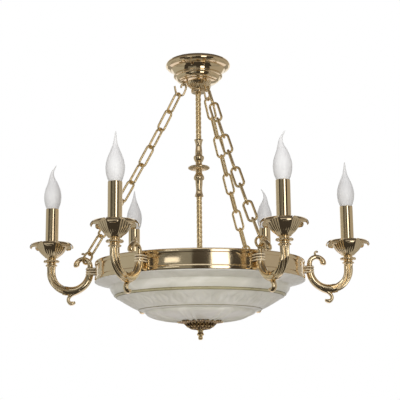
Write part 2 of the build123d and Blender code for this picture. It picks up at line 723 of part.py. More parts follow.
# Collar between arm and pan: a low ring and a beaded ring
collar_steps = (
    (COLLAR_NECK_RADIUS, 0.0),
    (COLLAR_NECK_RADIUS, 0.08),
    (COLLAR_LOW_RADIUS, 0.12),
    (COLLAR_LOW_RADIUS, 0.3),
    (COLLAR_NECK_RADIUS, 0.38),
    (COLLAR_NECK_RADIUS, 0.46),
    (COLLAR_BEAD_RADIUS, 0.52),
    (COLLAR_BEAD_RADIUS, 0.76),
    (COLLAR_NECK_RADIUS, 0.84),
    (PAN_FOOT_RADIUS, 1.0),
)
collar = turned(
    (nipple_hole, arm_top),
    *((radius, arm_top + share * COLLAR_HEIGHT) for radius, share in collar_steps),
    (nipple_hole, pan_bottom),
)
save(at_candles(collar), "arm_collars")

# Nipple: a threaded tube that holds arm, collar, pan and lamp holder together
nipple_bottom = arm_top - NIPPLE_GRIP
nipple_top = pan_floor + NIPPLE_GRIP
nipple = turned(
    (ROD_BORE_RADIUS, nipple_bottom),
    (NIPPLE_RADIUS, nipple_bottom),
    (NIPPLE_RADIUS, nipple_top),
    (ROD_BORE_RADIUS, nipple_top),
)
save(at_candles(nipple), "lamp_nipples")

# Drip pan: a cup with a flat floor and a petalled lip that curls over; all the pans face the same way
pan_rim = pan_bottom + PAN_HEIGHT
notch_cut = 4 * PAN_CURL
notch_start = 180.0 / PAN_PETALS
with BuildPart() as drip_pan:
    with BuildSketch(Plane.XZ):
        with BuildLine():
            foot = Line((PAN_FOOT_RADIUS, pan_bottom), (sleeve_seat, pan_floor))
            cup = SagittaArc(foot @ 1, (PAN_CUP_RADIUS, pan_rim - PAN_LIP_HEIGHT), -PAN_CUP_SAG)
            lip_top = ((PAN_CUP_RADIUS + PAN_RADIUS) / 2, pan_rim)
            ThreePointArc(cup @ 1, lip_top, (PAN_RADIUS, pan_rim - PAN_CURL))
            offset(amount=PAN_SHEET, side=Side.LEFT, kind=Kind.INTERSECTION)
        make_face()
        with BuildLine():
            Polyline(
                (nipple_hole, pan_bottom),
                (PAN_FOOT_RADIUS, pan_bottom),
                (sleeve_seat, pan_floor),
                (nipple_hole, pan_floor),
                close=True,
            )
        make_face()
    revolve(axis=Axis.Z)
    with PolarLocations(PAN_RADIUS + PAN_NOTCH_RADIUS - PAN_NOTCH_DEPTH, PAN_PETALS, notch_start):
        with Locations((0, 0, pan_rim)):
            Cylinder(PAN_NOTCH_RADIUS, notch_cut, mode=Mode.SUBTRACT)
for i, angle in enumerate(arm_angles, start=1):
    facing = drip_pan.part.rotate(Axis.Z, -angle)
    save(facing.moved(Location((CANDLE_RADIUS, 0, 0))).rotate(Axis.Z, angle), f"drip_pan_{i}")

# Lamp holder inside the sleeve, with the socket of the screw cap at its top
holder_top = sleeve_top - BULB_SINK - HOLDER_RIM
socket_floor = sleeve_top - BULB_SINK - cap_depth - SEAT_GAP
lamp_holder = turned(
    (nipple_hole, pan_floor),
    (holder_radius, pan_floor),
    (holder_radius, holder_top),
    (cap_bore, holder_top),
    (cap_bore, socket_floor),
    (0, socket_floor),
    (0, nipple_top),
    (nipple_hole, nipple_top),
)
save(at_candles(lamp_holder), "lamp_holders")

# Candle sleeve, which stands on the floor of the pan
candle_sleeve = turned(
    (sleeve_bore, pan_floor),
    (SLEEVE_RADIUS, pan_floor),
    (SLEEVE_RADIUS, sleeve_top),
    (sleeve_bore, sleeve_top),
)
for i, angle in enumerate(arm_angles, start=1):
    save(candle_sleeve.moved(Location((CANDLE_RADIUS, 0, 0))).rotate(Axis.Z, angle), f"candle_sleeve_{i}")

# Screw cap of every bulb, made about Z below the level where the glass begins
screw_cap = turned(
    (0, 0),
    (CAP_RADIUS, 0),
    (CAP_RADIUS, -CAP_LENGTH),
    (CONTACT_RADIUS, -CAP_LENGTH),
    (CONTACT_RADIUS, -cap_depth),
    (0, -cap_depth),
)

# Candle bulb: a hollow flame-shaped glass whose solid tip bends towards +X
glass_bottom = SEAT_GAP - BULB_SINK
tip_steps = ((0.0, 0.0), (0.35, 0.1), (0.7, 0.45), (1.0, 1.0))
with BuildPart() as candle_glass:
    with BuildSketch(Plane.XZ):
        with BuildLine():
            skirt = Line((CAP_RADIUS - CAP_CLEARANCE, glass_bottom), (bulb_seat_radius, 0))
            belly = ThreePointArc(skirt @ 1, (BULB_RADIUS, BULB_BELLY), (BULB_SHOULDER_RADIUS, BULB_SHOULDER))
            TangentArc(belly @ 1, (BULB_NECK_RADIUS, BULB_NECK), tangent=belly % 1)
            offset(amount=BULB_GLASS, side=Side.LEFT, kind=Kind.INTERSECTION)
        make_face()
    revolve(axis=Axis.Z)
    with Locations((0, 0, glass_bottom)):
        Cylinder(CAP_RADIUS - CAP_CLEARANCE, BULB_GLASS, align=(Align.CENTER, Align.CENTER, Align.MIN))
    with Locations((0, 0, BULB_NECK)):
        Cylinder(BULB_NECK_RADIUS, 2 * BULB_GLASS, align=(Align.CENTER, Align.CENTER, Align.MAX))
    for rise, bend in tip_steps:
        tip_z = BULB_NECK + rise * (BULB_LENGTH - BULB_NECK)
        tip_radius = BULB_NECK_RADIUS + (BULB_TIP_RADIUS - BULB_NECK_RADIUS) * rise**BULB_TIP_TAPER
        with BuildSketch(Plane((bend * BULB_BEND, 0, tip_z))):
            Circle(tip_radius)
    loft()
with BuildPart() as candle_bulb:
    add(candle_glass.part)
    add(screw_cap.moved(Location((0, 0, -BULB_SINK))))
for i, (angle, turn) in enumerate(zip(arm_angles, BULB_TURNS), start=1):
    stand = Vector(CANDLE_RADIUS, 0, sleeve_top).rotate(Axis.Z, angle)
    save(candle_bulb.part.moved(Location(stand, (0, 0, turn))), f"candle_bulb_{i}")

# Lamp cluster inside the bowl: a body on the rod with a threaded seat for each holder
with BuildPart() as lamp_cluster:
    with BuildSketch(Plane.XY.offset(cluster_bottom)):
        Circle(CLUSTER_RADIUS)
        Circle(rod_hole, mode=Mode.SUBTRACT)
    extrude(amount=CLUSTER_HEIGHT)
    for angle in cluster_angles:
        with Locations(Location((0, 0, cluster_z), (0, 0, angle)) * Location((CLUSTER_RADIUS, 0, 0), (0, 90, 0))):
            Cylinder(nipple_hole, 2 * (CLUSTER_STUB + SEAT_GAP), mode=Mode.SUBTRACT)
save(lamp_cluster.part, "lamp_cluster")

# Holders of the cluster lie flat and point outwards, so they are made about Z and laid along X
holder_start = CLUSTER_RADIUS + SEAT_GAP
holder_end = holder_start + CLUSTER_HOLDER_LENGTH
laid_flat = Plane((0, 0, cluster_z), x_dir=(0, 0, -1), z_dir=(1, 0, 0)).location
inner_holder = turned(
    (0, holder_start - CLUSTER_STUB),
    (NIPPLE_RADIUS, holder_start - CLUSTER_STUB),
    (NIPPLE_RADIUS, holder_start),
    (CLUSTER_HOLDER_RADIUS, holder_start),
    (CLUSTER_HOLDER_RADIUS, holder_end),
    (cap_bore, holder_end),
    (cap_bore, holder_end + HOLDER_RIM - cap_depth - SEAT_GAP),
    (0, holder_end + HOLDER_RIM - cap_depth - SEAT_GAP),
)
save(around(inner_holder.moved(laid_flat), cluster_angles), "inner_holders")

# Round bulb of the cluster: a hollow ball of glass on a short neck
ball_middle = ROUND_BULB_LENGTH - ROUND_BULB_RADIUS
neck_radius = sqrt(ROUND_BULB_RADIUS**2 - (ball_middle - ROUND_BULB_NECK) ** 2)
with BuildPart() as round_glass:
    with BuildSketch(Plane.XZ):
        with BuildLine():
            neck = Polyline(
                (0, ROUND_BULB_LENGTH),
                (0, SEAT_GAP),
                (CAP_RADIUS - CAP_CLEARANCE, SEAT_GAP),
                (neck_radius, ROUND_BULB_NECK),
            )
            ThreePointArc(neck @ 1, (ROUND_BULB_RADIUS, ball_middle), neck @ 0)
        make_face()
    revolve(axis=Axis.Z)
    with Locations((0, 0, ball_middle)):
        Sphere(ROUND_BULB_RADIUS - BULB_GLASS, mode=Mode.SUBTRACT)
with BuildPart() as round_bulb:
    add(round_glass.part)
    add(screw_cap)
bulb_place = laid_flat * Location((0, 0, holder_end + HOLDER_RIM))
for i, angle in enumerate(cluster_angles, start=1):
    save(round_bulb.part.moved(bulb_place).rotate(Axis.Z, angle), f"inner_bulb_{i}")

# Bowl: glass of even wall, with a lip inside the ring, a flange, a curved tier and a shallow dome
lip_radius = ring_inside - GLASS_CLEARANCE
tier_top_z = bowl_top - BOWL_FLANGE_DEPTH
dome_top_z = bowl_top - BOWL_TIER_DEPTH
flange_corner = bowl_top - BOWL_FLANGE_EDGE
with BuildPart() as bowl:
    with BuildSketch(Plane.XZ):
        with BuildLine():
            lip = Line((lip_radius, bowl_top + BOWL_LIP_HEIGHT), (lip_radius, bowl_top))
            rim_line = FilletPolyline(
                lip @ 1,
                (RING_RADIUS, bowl_top),
                (RING_RADIUS, flange_corner),
                (BOWL_TIER_RADIUS, tier_top_z),
                (BOWL_TIER_RADIUS, tier_top_z - BOWL_TIER_STEP),
                radius=(0, BOWL_FLANGE_ROUND, 0),
            )
            tier_end = (BOWL_DOME_RADIUS + BOWL_DOME_LEDGE, dome_top_z)
            tier = SagittaArc(rim_line @ 1, tier_end, BOWL_TIER_SAG)
            ledge = Polyline(
                tier @ 1,
                (BOWL_DOME_RADIUS, dome_top_z),
                (BOWL_DOME_RADIUS, dome_top_z - BOWL_DOME_STEP),
            )
            dome = SagittaArc(ledge @ 1, (BOWL_PAD_RADIUS, bowl_bottom), BOWL_DOME_SAG)
            Line(dome @ 1, (BOWL_HOLE_RADIUS, bowl_bottom))
            offset(amount=BOWL_WALL, side=Side.RIGHT)
        make_face()
    revolve(axis=Axis.Z)
save(bowl.part, "bowl")

# Washer on the floor of the bowl and gasket under it
for name, low in (("bowl_washer", bowl_floor), ("bowl_gasket", gasket_bottom)):
    high = low + GASKET_THICKNESS
    save(turned((rod_hole, low), (GASKET_RADIUS, low), (GASKET_RADIUS, high), (rod_hole, high)), name)

# Rosette: a lobed dish that carries the bowl
rosette_rim = gasket_bottom + ROSETTE_RISE
with BuildPart() as finial_rosette:
    add(
        turned(
            (rod_hole, gasket_bottom),
            (GASKET_RADIUS, gasket_bottom),
            (ROSETTE_RADIUS, rosette_rim),
            (ROSETTE_RADIUS, rosette_rim - ROSETTE_EDGE),
            (ROSETTE_FOOT_RADIUS, rosette_bottom),
            (rod_hole, rosette_bottom),
        )
    )
    with PolarLocations(ROSETTE_RADIUS, ROSETTE_LOBES):
        with Locations((0, 0, rosette_rim)):
            Cylinder(ROSETTE_NOTCH_RADIUS, 2 * ROSETTE_HEIGHT, mode=Mode.SUBTRACT)
save(finial_rosette.part, "finial_rosette")

# Finial drop, screwed on the end of the rod
ball_z = drop_bottom + DROP_BALL_RADIUS
bead_z = rosette_bottom - DROP_BEAD_DROP
bore_end = rod_bottom - SEAT_GAP
with BuildPart() as finial_drop:
    with BuildSketch(Plane.XZ):
        with BuildLine():
            shank = Polyline(
                (0, ball_z),
                (0, bore_end),
                (rod_hole, bore_end),
                (rod_hole, rosette_bottom),
                (DROP_NECK_RADIUS, rosette_bottom),
                (DROP_NECK_RADIUS, (rosette_bottom + bead_z) / 2),
                (DROP_BEAD_RADIUS, bead_z),
                (DROP_BEAD_RADIUS, bore_end),
                (DROP_WAIST_RADIUS, ball_z),
            )
            Line(shank @ 1, shank @ 0)
        make_face()
    revolve(axis=Axis.Z)
    with Locations((0, 0, ball_z)):
        Sphere(DROP_BALL_RADIUS)
save(finial_drop.part, "finial_drop")
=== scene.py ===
"""Looks of the six-arm brass chandelier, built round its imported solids.

Shapes are worked out in millimetres in the part's own frame, +Z up, and written as metres. An outline
is a list of (radius, height) points, and a shell is a pair of points and faces.
"""

import json
from functools import cache
from math import cos, pi, radians, sin

import bmesh
import bpy
import numpy as np
from mathutils import Matrix, Vector


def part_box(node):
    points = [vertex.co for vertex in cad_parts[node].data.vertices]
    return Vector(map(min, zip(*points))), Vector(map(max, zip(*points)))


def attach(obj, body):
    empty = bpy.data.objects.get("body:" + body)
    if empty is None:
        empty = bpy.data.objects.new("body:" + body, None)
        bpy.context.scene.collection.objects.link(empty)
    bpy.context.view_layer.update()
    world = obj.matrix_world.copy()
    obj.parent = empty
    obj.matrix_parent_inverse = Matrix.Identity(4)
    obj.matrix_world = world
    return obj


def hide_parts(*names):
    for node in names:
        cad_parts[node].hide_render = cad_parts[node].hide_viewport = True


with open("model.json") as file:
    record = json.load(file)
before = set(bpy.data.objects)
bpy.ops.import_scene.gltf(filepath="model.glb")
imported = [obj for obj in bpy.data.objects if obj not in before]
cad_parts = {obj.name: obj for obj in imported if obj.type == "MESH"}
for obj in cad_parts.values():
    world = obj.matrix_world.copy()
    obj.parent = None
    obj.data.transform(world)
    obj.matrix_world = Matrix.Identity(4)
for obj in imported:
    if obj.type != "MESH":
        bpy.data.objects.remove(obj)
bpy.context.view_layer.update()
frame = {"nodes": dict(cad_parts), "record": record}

MM = 0.001
ARM_COUNT = 6
ARM_ANGLES = [360.0 / ARM_COUNT * i for i in range(ARM_COUNT)]
ARMS = list(enumerate(ARM_ANGLES, start=1))
CHAIN_ANGLES = (60.0, 180.0, 300.0)

# Camera of the photograph, in millimetres and degrees, and how far it sees, in metres
CAMERA_PLACE = (0.3, -2000.8, -690.1)
CAMERA_YAW = -0.038
CAMERA_PITCH = 11.204
CAMERA_ROLL = 0.563
CAMERA_LENS = 89.65
CAMERA_REACH = 100.0

# Round resolution of turned pieces, and the points that hold the shading of their straight walls
FINE = 256
PLAIN = 96
LONG_STRETCH = 2.5
HOLD = 0.3

# Distances in metres under which points are one, and the angle in degrees from which an edge is sharp
WELD = 1e-7
SOLID_WELD = 1e-6
CREASE = 38

# Length under which a line has no way, and the digits in millimetres to which points are compared
TINY = 1e-9
SAME_DIGITS = 3

# A way that no tube starts along, from which its rings are set out, and the turn at which a ball ends
TUBE_SIDE = (0.13, 0.97, 0.21)
BALL_END = 0.49 * pi

# Petals and flutes of pressed dishes: roundness, share of the line over which flutes fade, their middle
PETAL_ROUND = 0.8
FLUTE_FADE = 0.09
FLUTE_MIDDLE = 0.6


@cache
def box_mm(node):
    """Lowest and highest corner of a solid, in millimetres."""
    low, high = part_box(node)
    return np.array(low) / MM, np.array(high) / MM


def bottom(node):
    """Height of a solid's lowest point."""
    return box_mm(node)[0][2]


def top(node):
    """Height of a solid's highest point."""
    return box_mm(node)[1][2]


def reach(node):
    """How far a solid reaches from the axis along +X."""
    return box_mm(node)[1][0]


def around(count):
    """Equal steps of angle that go once round."""
    return np.linspace(0, 2 * pi, count, endpoint=False)


def from_level(level, points):
    """Outline points whose heights count from a level."""
    return [(r, level + height) for r, height in points]


def smooth_line(points, steps=8):
    """Smooth line through the points, which the first and last of them end."""
    p = np.asarray(points, float)
    p = np.vstack([2 * p[0] - p[1], p, 2 * p[-1] - p[-2]])
    t = np.linspace(0, 1, steps, endpoint=False)[:, None]
    rows = []
    for a, b, c, d in zip(p[:-3], p[1:-2], p[2:-1], p[3:]):
        rows.append(b + 0.5 * t * (c - a + t * (2 * a - 5 * b + 4 * c - d + t * (3 * (b - c) + d - a))))
    return np.vstack([*rows, p[-2:-1]])


def bulged(start, end, rise, steps=12):
    """Shallow arc between two points, which rises to the left of the way from start to end."""
    a, b = np.asarray(start, float), np.asarray(end, float)
    run = b - a
    side = np.array([-run[1], run[0]]) / np.linalg.norm(run)
    t = np.linspace(0, 1, steps + 1)[:, None]
    return a + t * run + 4 * rise * t * (1 - t) * side


def held(outline):
    """Closed outline with two more points in each long straight stretch, which keep its shading flat."""
    line = np.asarray(outline, float)
    points = []
    for a, b in zip(line, np.roll(line, -1, axis=0)):
        points.append(a)
        run = np.linalg.norm(b - a)
        if run > LONG_STRETCH:
            points += [a + (b - a) * HOLD / run, b - (b - a) * HOLD / run]
    return np.array(points)


def line_normals(line, closed=False):
    """Unit normals to the right of a line of (radius, height) points."""
    p = np.asarray(line, float)
    if closed:
        run = np.roll(p, -1, axis=0) - np.roll(p, 1, axis=0)
    else:
        run = np.gradient(p, axis=0)
    run /= np.maximum(np.linalg.norm(run, axis=1), TINY)[:, None]
    return np.stack([run[:, 1], -run[:, 0]], axis=1)


def grid(points, wrap=False):
    """Closed shell from rows of points that go round: wrapped into a loop, or closed by a cap at each end."""
    points = np.asarray(points, float)
    rows, columns = points.shape[:2]
    faces = []
    for i in range(rows if wrap else rows - 1):
        low = i * columns
        high = (i + 1) % rows * columns
        for j in range(columns):
            k = (j + 1) % columns
            faces.append((low + j, low + k, high + k, high + j))
    if not wrap:
        faces.append(tuple(range(columns))[::-1])
        faces.append(tuple(range((rows - 1) * columns, rows * columns)))
    return points.reshape(-1, 3), faces


def joined(*shells):
    """Several shells as one."""
    points, faces, start = [], [], 0
    for p, f in shells:
        points.append(np.asarray(p, float))
        faces += [tuple(i + start for i in face) for face in f]
        start += len(p)
    return np.vstack(points), faces


def moved(shell, place):
    """The shell after a 4x4 placing."""
    m = np.array(place)
    return shell[0] @ m[:3, :3].T + m[:3, 3], shell[1]


def turned(shell, angle):
    """The shell turned about Z by an angle in degrees."""
    return moved(shell, Matrix.Rotation(radians(angle), 4, "Z"))


def shifted(shell, x, y, z):
    """The shell moved by a distance."""
    return shell[0] + np.array([x, y, z]), shell[1]


def round_rows(r, z, angle):
    """Rows of points at radii, heights and angles about Z."""
    return np.stack([r * np.cos(angle), r * np.sin(angle), z + 0 * angle], axis=2)


def lathe(outline, segments=PLAIN, relief=None, closed=True):
    """Turned shell about Z. relief(radius, height, angle) raises the surface along its normal."""
    line = np.asarray(outline, float)
    angle = around(segments)[None, :]
    r, z = line[:, :1] + 0 * angle, line[:, 1:] + 0 * angle
    if relief is not None:
        normal = line_normals(line, closed)
        rise = relief(r, z, angle)
        r, z = r + rise * normal[:, :1], z + rise * normal[:, 1:]
    return grid(round_rows(r, z, angle), wrap=closed)


def tube(path, radius, segments=16, closed=False):
    """Tube along a path. radius(along, angle) gives its size at each distance along and angle round."""
    p = np.asarray(path, float)
    if closed:
        run = np.roll(p, -1, axis=0) - np.roll(p, 1, axis=0)
        ends = np.vstack([p, p[:1]])
    else:
        run = np.gradient(p, axis=0)
        ends = p
    run /= np.linalg.norm(run, axis=1)[:, None]
    along = np.concatenate([[0], np.cumsum(np.linalg.norm(np.diff(ends, axis=0), axis=1))])[: len(p)]
    side = np.cross(run[0], TUBE_SIDE)
    sides = []
    for way in run:
        side = side - way * side.dot(way)
        side = side / np.linalg.norm(side)
        sides.append(side)
    side = np.array(sides)
    up = np.cross(run, side)
    angle = around(segments)[None, :]
    size = radius(along[:, None], angle) + 0 * angle
    ring = side[:, None, :] * np.cos(angle)[..., None] + up[:, None, :] * np.sin(angle)[..., None]
    return grid(p[:, None, :] + ring * size[..., None], wrap=closed)


def tapered(shares, sizes):
    """Radius of a tube whose sizes are given at some shares of its length."""

    def radius(along, angle):
        return np.interp(along / along.max(), shares, sizes)

    return radius


def rope(size, strands, lead, depth):
    """Radius of a wire that is twisted from strands, one turn in each lead."""

    def radius(along, angle):
        phase = strands * (angle - 2 * pi * along / lead) / 2
        return size * (1 - depth * (1 - np.abs(np.cos(phase))))

    return radius


def ball(size, centre, squash=1.0, segments=12):
    """Small turned ball."""
    a = np.linspace(-BALL_END, BALL_END, segments // 2 + 1)
    line = np.stack([size * np.cos(a), squash * size * np.sin(a)], axis=1)
    return shifted(lathe(line, segments, closed=False), *centre)


def ball_ring(count, radius, level, size, *shape):
    """Small balls in a ring about Z; shape is what else a ball takes."""
    return [ball(size, (radius * cos(a), radius * sin(a), level), *shape) for a in around(count)]


def rising(value, start, length):
    """Rises from 0 at a start to 1 after a length, which is negative for a fall to the start."""
    return np.clip((value - start) / length, 0, 1)


def repeat_place(angle, count):
    """Place across each of the equal sectors, from -0.5 to 0.5."""
    share = angle * count / (2 * pi)
    return share - np.round(share)


def petal_dish(line, sheet, petals, notch, flutes, depth, fluted, floor, segments, flatness=0.0):
    """Sheet dish whose line of (radius, height) is cut back by a notch between petals and carries flutes.

    fluted is the share of the line from and to which the flutes run, floor an inner outline that closes it.
    flatness makes flat panels of the fluted stretch, one under each petal.
    """
    line = np.asarray(line, float)
    share = np.linspace(0, 1, len(line))
    normal = line_normals(line)
    angle = around(segments)
    length = 1 - notch * (1 - np.abs(np.cos(petals * angle / 2)) ** PETAL_ROUND)
    at = share[:, None] * length[None, :]
    r, z = np.interp(at, share, line[:, 0]), np.interp(at, share, line[:, 1])
    nr, nz = np.interp(at, share, normal[:, 0]), np.interp(at, share, normal[:, 1])
    fade = rising(at, fluted[0], FLUTE_FADE) * rising(at, fluted[1], -FLUTE_FADE)
    rise = depth * fade * (np.abs(np.cos(flutes * angle / 2)) - FLUTE_MIDDLE)
    panel = 1 / np.cos(2 * pi / petals * repeat_place(angle, petals))
    r = r * (1 + flatness * fade * (panel / panel.mean() - 1))
    r, z = r + rise * nr, z + rise * nz
    inner_r, inner_z = r - sheet * nr, z - sheet * nz
    rows_r, rows_z = [*r, *inner_r[::-1]], [*z, *inner_z[::-1]]
    for floor_r, floor_z in floor:
        rows_r.append(np.full(segments, floor_r))
        rows_z.append(np.full(segments, floor_z))
    return grid(round_rows(np.array(rows_r), np.array(rows_z), angle), wrap=True)


def islands(node):
    """Point sets of the separate solids in a node, in millimetres."""
    mesh = frame["nodes"][node].data
    points = np.array([v.co for v in mesh.vertices]) / MM
    _, same = np.unique(np.round(points, SAME_DIGITS), axis=0, return_inverse=True)
    same = same.reshape(-1)
    parent = list(range(same.max() + 1))

    def root(i):
        while parent[i] != i:
            parent[i] = parent[parent[i]]
            i = parent[i]
        return i

    for polygon in mesh.polygons:
        first, *rest = (root(same[i]) for i in polygon.vertices)
        for other in rest:
            parent[root(other)] = root(first)
    group = np.array([root(i) for i in same])
    return [points[group == g] for g in np.unique(group)]


def swollen(node, rise):
    """Shell of a node's solid, raised along its normals."""
    work = bmesh.new()
    work.from_mesh(frame["nodes"][node].data)
    bmesh.ops.remove_doubles(work, verts=work.verts, dist=SOLID_WELD)
    work.normal_update()
    points = [(v.co / MM + v.normal * rise)[:] for v in work.verts]
    faces = [tuple(v.index for v in f.verts) for f in work.faces]
    work.free()
    return np.array(points), faces


def mesh_object(name, points, faces, material):
    """New mesh with a material, as an object of the scene."""
    mesh = bpy.data.meshes.new(name)
    mesh.from_pydata(points, [], faces)
    mesh.materials.append(material)
    thing = bpy.data.objects.new(name, mesh)
    bpy.context.scene.collection.objects.link(thing)
    return thing


def piece(name, shell, material, replaces=(), body="fixture"):
    """One visible piece of the part, which rides on a body and stands for some solids."""
    thing = mesh_object(name, (shell[0] * MM).tolist(), shell[1], material)
    mesh = thing.data
    work = bmesh.new()
    work.from_mesh(mesh)
    bmesh.ops.remove_doubles(work, verts=work.verts, dist=WELD)
    bmesh.ops.recalc_face_normals(work, faces=work.faces)
    work.to_mesh(mesh)
    work.free()
    mesh.polygons.foreach_set("use_smooth", [True] * len(mesh.polygons))
    mesh.set_sharp_from_angle(angle=radians(CREASE))
    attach(thing, body)
    if replaces:
        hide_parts(*replaces)


# Materials: the values of noise between which a cloud changes, and the grain of metal and of the rest
CLOUD_LOW = 0.3
CLOUD_HIGH = 0.7
METAL_GRAIN = 12
METAL_GRAIN_DEPTH = 0.0004
PLAIN_GRAIN = 30
PLAIN_GRAIN_DEPTH = 0.0003


def new_material(name):
    """New material with its nodes, links and shader."""
    material = bpy.data.materials.new(name)
    material.use_nodes = True
    nodes, links = material.node_tree.nodes, material.node_tree.links
    return material, nodes, links, nodes["Principled BSDF"]


def set_inputs(node, values):
    """Gives a node's inputs their values, by name."""
    for name, value in values.items():
        node.inputs[name].default_value = value


def add_noise(nodes, links, scale, detail=3.0, swirl=0.0):
    """Noise over the object's own coordinates, in metres."""
    place = nodes.new("ShaderNodeTexCoord")
    noise = nodes.new("ShaderNodeTexNoise")
    set_inputs(noise, {"Scale": scale, "Detail": detail, "Distortion": swirl})
    links.new(place.outputs["Object"], noise.inputs["Vector"])
    return noise.outputs["Fac"]


def add_range(nodes, links, value, low, high):
    """The noise of a cloud, mapped to low..high."""
    span = nodes.new("ShaderNodeMapRange")
    set_inputs(span, {"From Min": CLOUD_LOW, "From Max": CLOUD_HIGH, "To Min": low, "To Max": high})
    links.new(value, span.inputs["Value"])
    return span.outputs["Result"]


def add_colours(nodes, links, value, first, second):
    """Colour between two, chosen by the noise of a cloud."""
    ramp = nodes.new("ShaderNodeValToRGB")
    ends = ramp.color_ramp.elements
    for end, position, colour in zip(ends, (CLOUD_LOW, CLOUD_HIGH), (first, second)):
        end.position = position
        end.color = (*colour, 1)
    links.new(value, ramp.inputs["Fac"])
    return ramp.outputs["Color"]


def add_bump(nodes, links, shader, scale, strength, distance):
    """Fine unevenness of the surface, from noise of a scale."""
    bump = nodes.new("ShaderNodeBump")
    set_inputs(bump, {"Strength": strength, "Distance": distance})
    links.new(add_noise(nodes, links, scale), bump.inputs["Height"])
    links.new(bump.outputs["Normal"], shader.inputs["Normal"])


def clouded(name, first, second, rough, *noise):
    """New material whose colour and polish change in clouds; rough is a pair, noise what add_noise takes."""
    material, nodes, links, shader = new_material(name)
    clouds = add_noise(nodes, links, *noise)
    links.new(add_colours(nodes, links, clouds, first, second), shader.inputs["Base Color"])
    links.new(add_range(nodes, links, clouds, *rough), shader.inputs["Roughness"])
    return material, nodes, links, shader


def metal(name, first, second, rough, spots, bump, bare=1.0):
    """Metal with slight clouds, whose scale is spots; bare is the share that lacquer doesn't cover."""
    material, nodes, links, shader = clouded(name, first, second, rough, spots)
    set_inputs(shader, {"Metallic": bare})
    add_bump(nodes, links, shader, spots * METAL_GRAIN, bump, METAL_GRAIN_DEPTH)
    return material


def plain_material(name, first, second, rough, spots, bump):
    """Moulded or painted surface with slight clouds of colour and grain."""
    material, nodes, links, shader = clouded(name, first, second, rough, spots)
    add_bump(nodes, links, shader, spots * PLAIN_GRAIN, bump, PLAIN_GRAIN_DEPTH)
    return material


def bowl_material():
    """Alabaster glass: pale, softly clouded and slightly see-through to light."""
    colours = (0.67, 0.65, 0.57), (0.84, 0.815, 0.75)
    material, nodes, links, shader = clouded("alabaster_glass", *colours, (0.32, 0.42), 16.0, 4.0, 1.6)
    depth = {"Subsurface Weight": 0.25, "Subsurface Radius": (1.0, 0.95, 0.85), "Subsurface Scale": 0.008}
    set_inputs(shader, {**depth, "Coat Weight": 0.25, "Coat Roughness": 0.25})
    add_bump(nodes, links, shader, 60.0, 0.04, 0.001)
    return material


def bulb_material():
    """Frosted lamp glass: a milky skin that light sinks into a little."""
    colours = (0.73, 0.72, 0.72), (0.79, 0.785, 0.785)
    material, nodes, links, shader = clouded("frosted_bulb", *colours, (0.28, 0.36), 40.0)
    depth = {"Subsurface Weight": 0.3, "Subsurface Radius": (1.0, 1.0, 1.0), "Subsurface Scale": 0.006}
    set_inputs(shader, depth)
    add_bump(nodes, links, shader, 300.0, 0.01, 0.0002)
    return material


brass = metal("polished_brass", (0.80, 0.64, 0.41), (0.85, 0.69, 0.45), (0.04, 0.09), 30.0, 0.03)
satin_brass = metal("satin_brass", (0.80, 0.65, 0.43), (0.85, 0.70, 0.47), (0.08, 0.14), 40.0, 0.04)
cast_brass = metal("cast_brass", (0.84, 0.67, 0.42), (0.95, 0.79, 0.53), (0.10, 0.17), 60.0, 0.03)
reed_brass = metal("reed_brass", (0.84, 0.70, 0.48), (0.92, 0.79, 0.58), (0.20, 0.28), 60.0, 0.03, 0.45)
wire_brass = metal("wire_brass", (0.88, 0.67, 0.36), (0.97, 0.78, 0.47), (0.06, 0.12), 90.0, 0.03)
gold_paint = plain_material("gold_paint", (0.50, 0.45, 0.27), (0.62, 0.56, 0.35), (0.25, 0.4), 80.0, 0.05)
dark_gold = plain_material("dark_gold", (0.20, 0.17, 0.08), (0.30, 0.26, 0.13), (0.25, 0.4), 80.0, 0.05)
# Dark brass whose colour is painted shade: the shade in the gaps between the boss reeds and in the rosette's
# hollows
painted_shade_brass = metal("painted_shade_brass", (0.07, 0.04, 0.015), (0.36, 0.23, 0.10), (0.12, 0.24), 160.0, 0.08)
zinc = metal("zinc_steel", (0.60, 0.61, 0.62), (0.72, 0.73, 0.74), (0.30, 0.42), 90.0, 0.012)
lamp_plastic = plain_material("lamp_plastic", (0.74, 0.72, 0.66), (0.82, 0.80, 0.74), (0.38, 0.5), 60.0, 0.05)
rubber = plain_material("seal_rubber", (0.03, 0.03, 0.03), (0.05, 0.05, 0.05), (0.6, 0.8), 120.0, 0.15)
bowl_glass = bowl_material()
bulb_glass = bulb_material()
slot_looks = {
    "polished_brass": brass,
    "zinc_steel": zinc,
    "lamp_plastic": lamp_plastic,
    "seal_rubber": rubber,
    "bowl_glass": bowl_glass,
    "bulb_glass": bulb_glass,
}
for part in frame["record"]["subparts"]:
    solid = frame["nodes"][part["node"]]
    solid.data.materials.clear()
    solid.data.materials.append(slot_looks[part["material_slot"]])

# Gallery ring: a mirror band between two rounded lips
RING_WALL = 2.2
RING_LIP = 1.8
RING_TOP_LIP = 7.8
RING_BOTTOM_LIP = 9.0
RING_ROUND = 0.7
RING_EDGE = 0.4 * RING_ROUND
LIP_BULGE = 0.7
BAND_BULGE = 0.5
ring_radius = reach("gallery_ring")
ring_top, ring_bottom = top("gallery_ring"), bottom("gallery_ring")


def lip(radius, upper, lower):
    """Rounded outer side of a lip, from its upper to its lower level."""
    side = radius - LIP_BULGE
    return [
        (side - RING_ROUND, upper),
        *bulged((side, upper - RING_EDGE), (side, lower + RING_EDGE), LIP_BULGE, steps=8),
        (side - RING_ROUND, lower),
    ]


band = ring_radius - RING_LIP
band_top, band_bottom = ring_top - RING_TOP_LIP, ring_bottom + RING_BOTTOM_LIP
ring_outline = [
    (band - RING_WALL, ring_top),
    *lip(ring_radius, ring_top, band_top),
    *bulged((band, band_top), (band, band_bottom), BAND_BULGE, steps=10),
    *lip(ring_radius, band_bottom, ring_bottom),
    (band - RING_WALL, ring_bottom),
]
piece("ring_band", lathe(held(ring_outline), FINE), satin_brass, ["gallery_ring"])

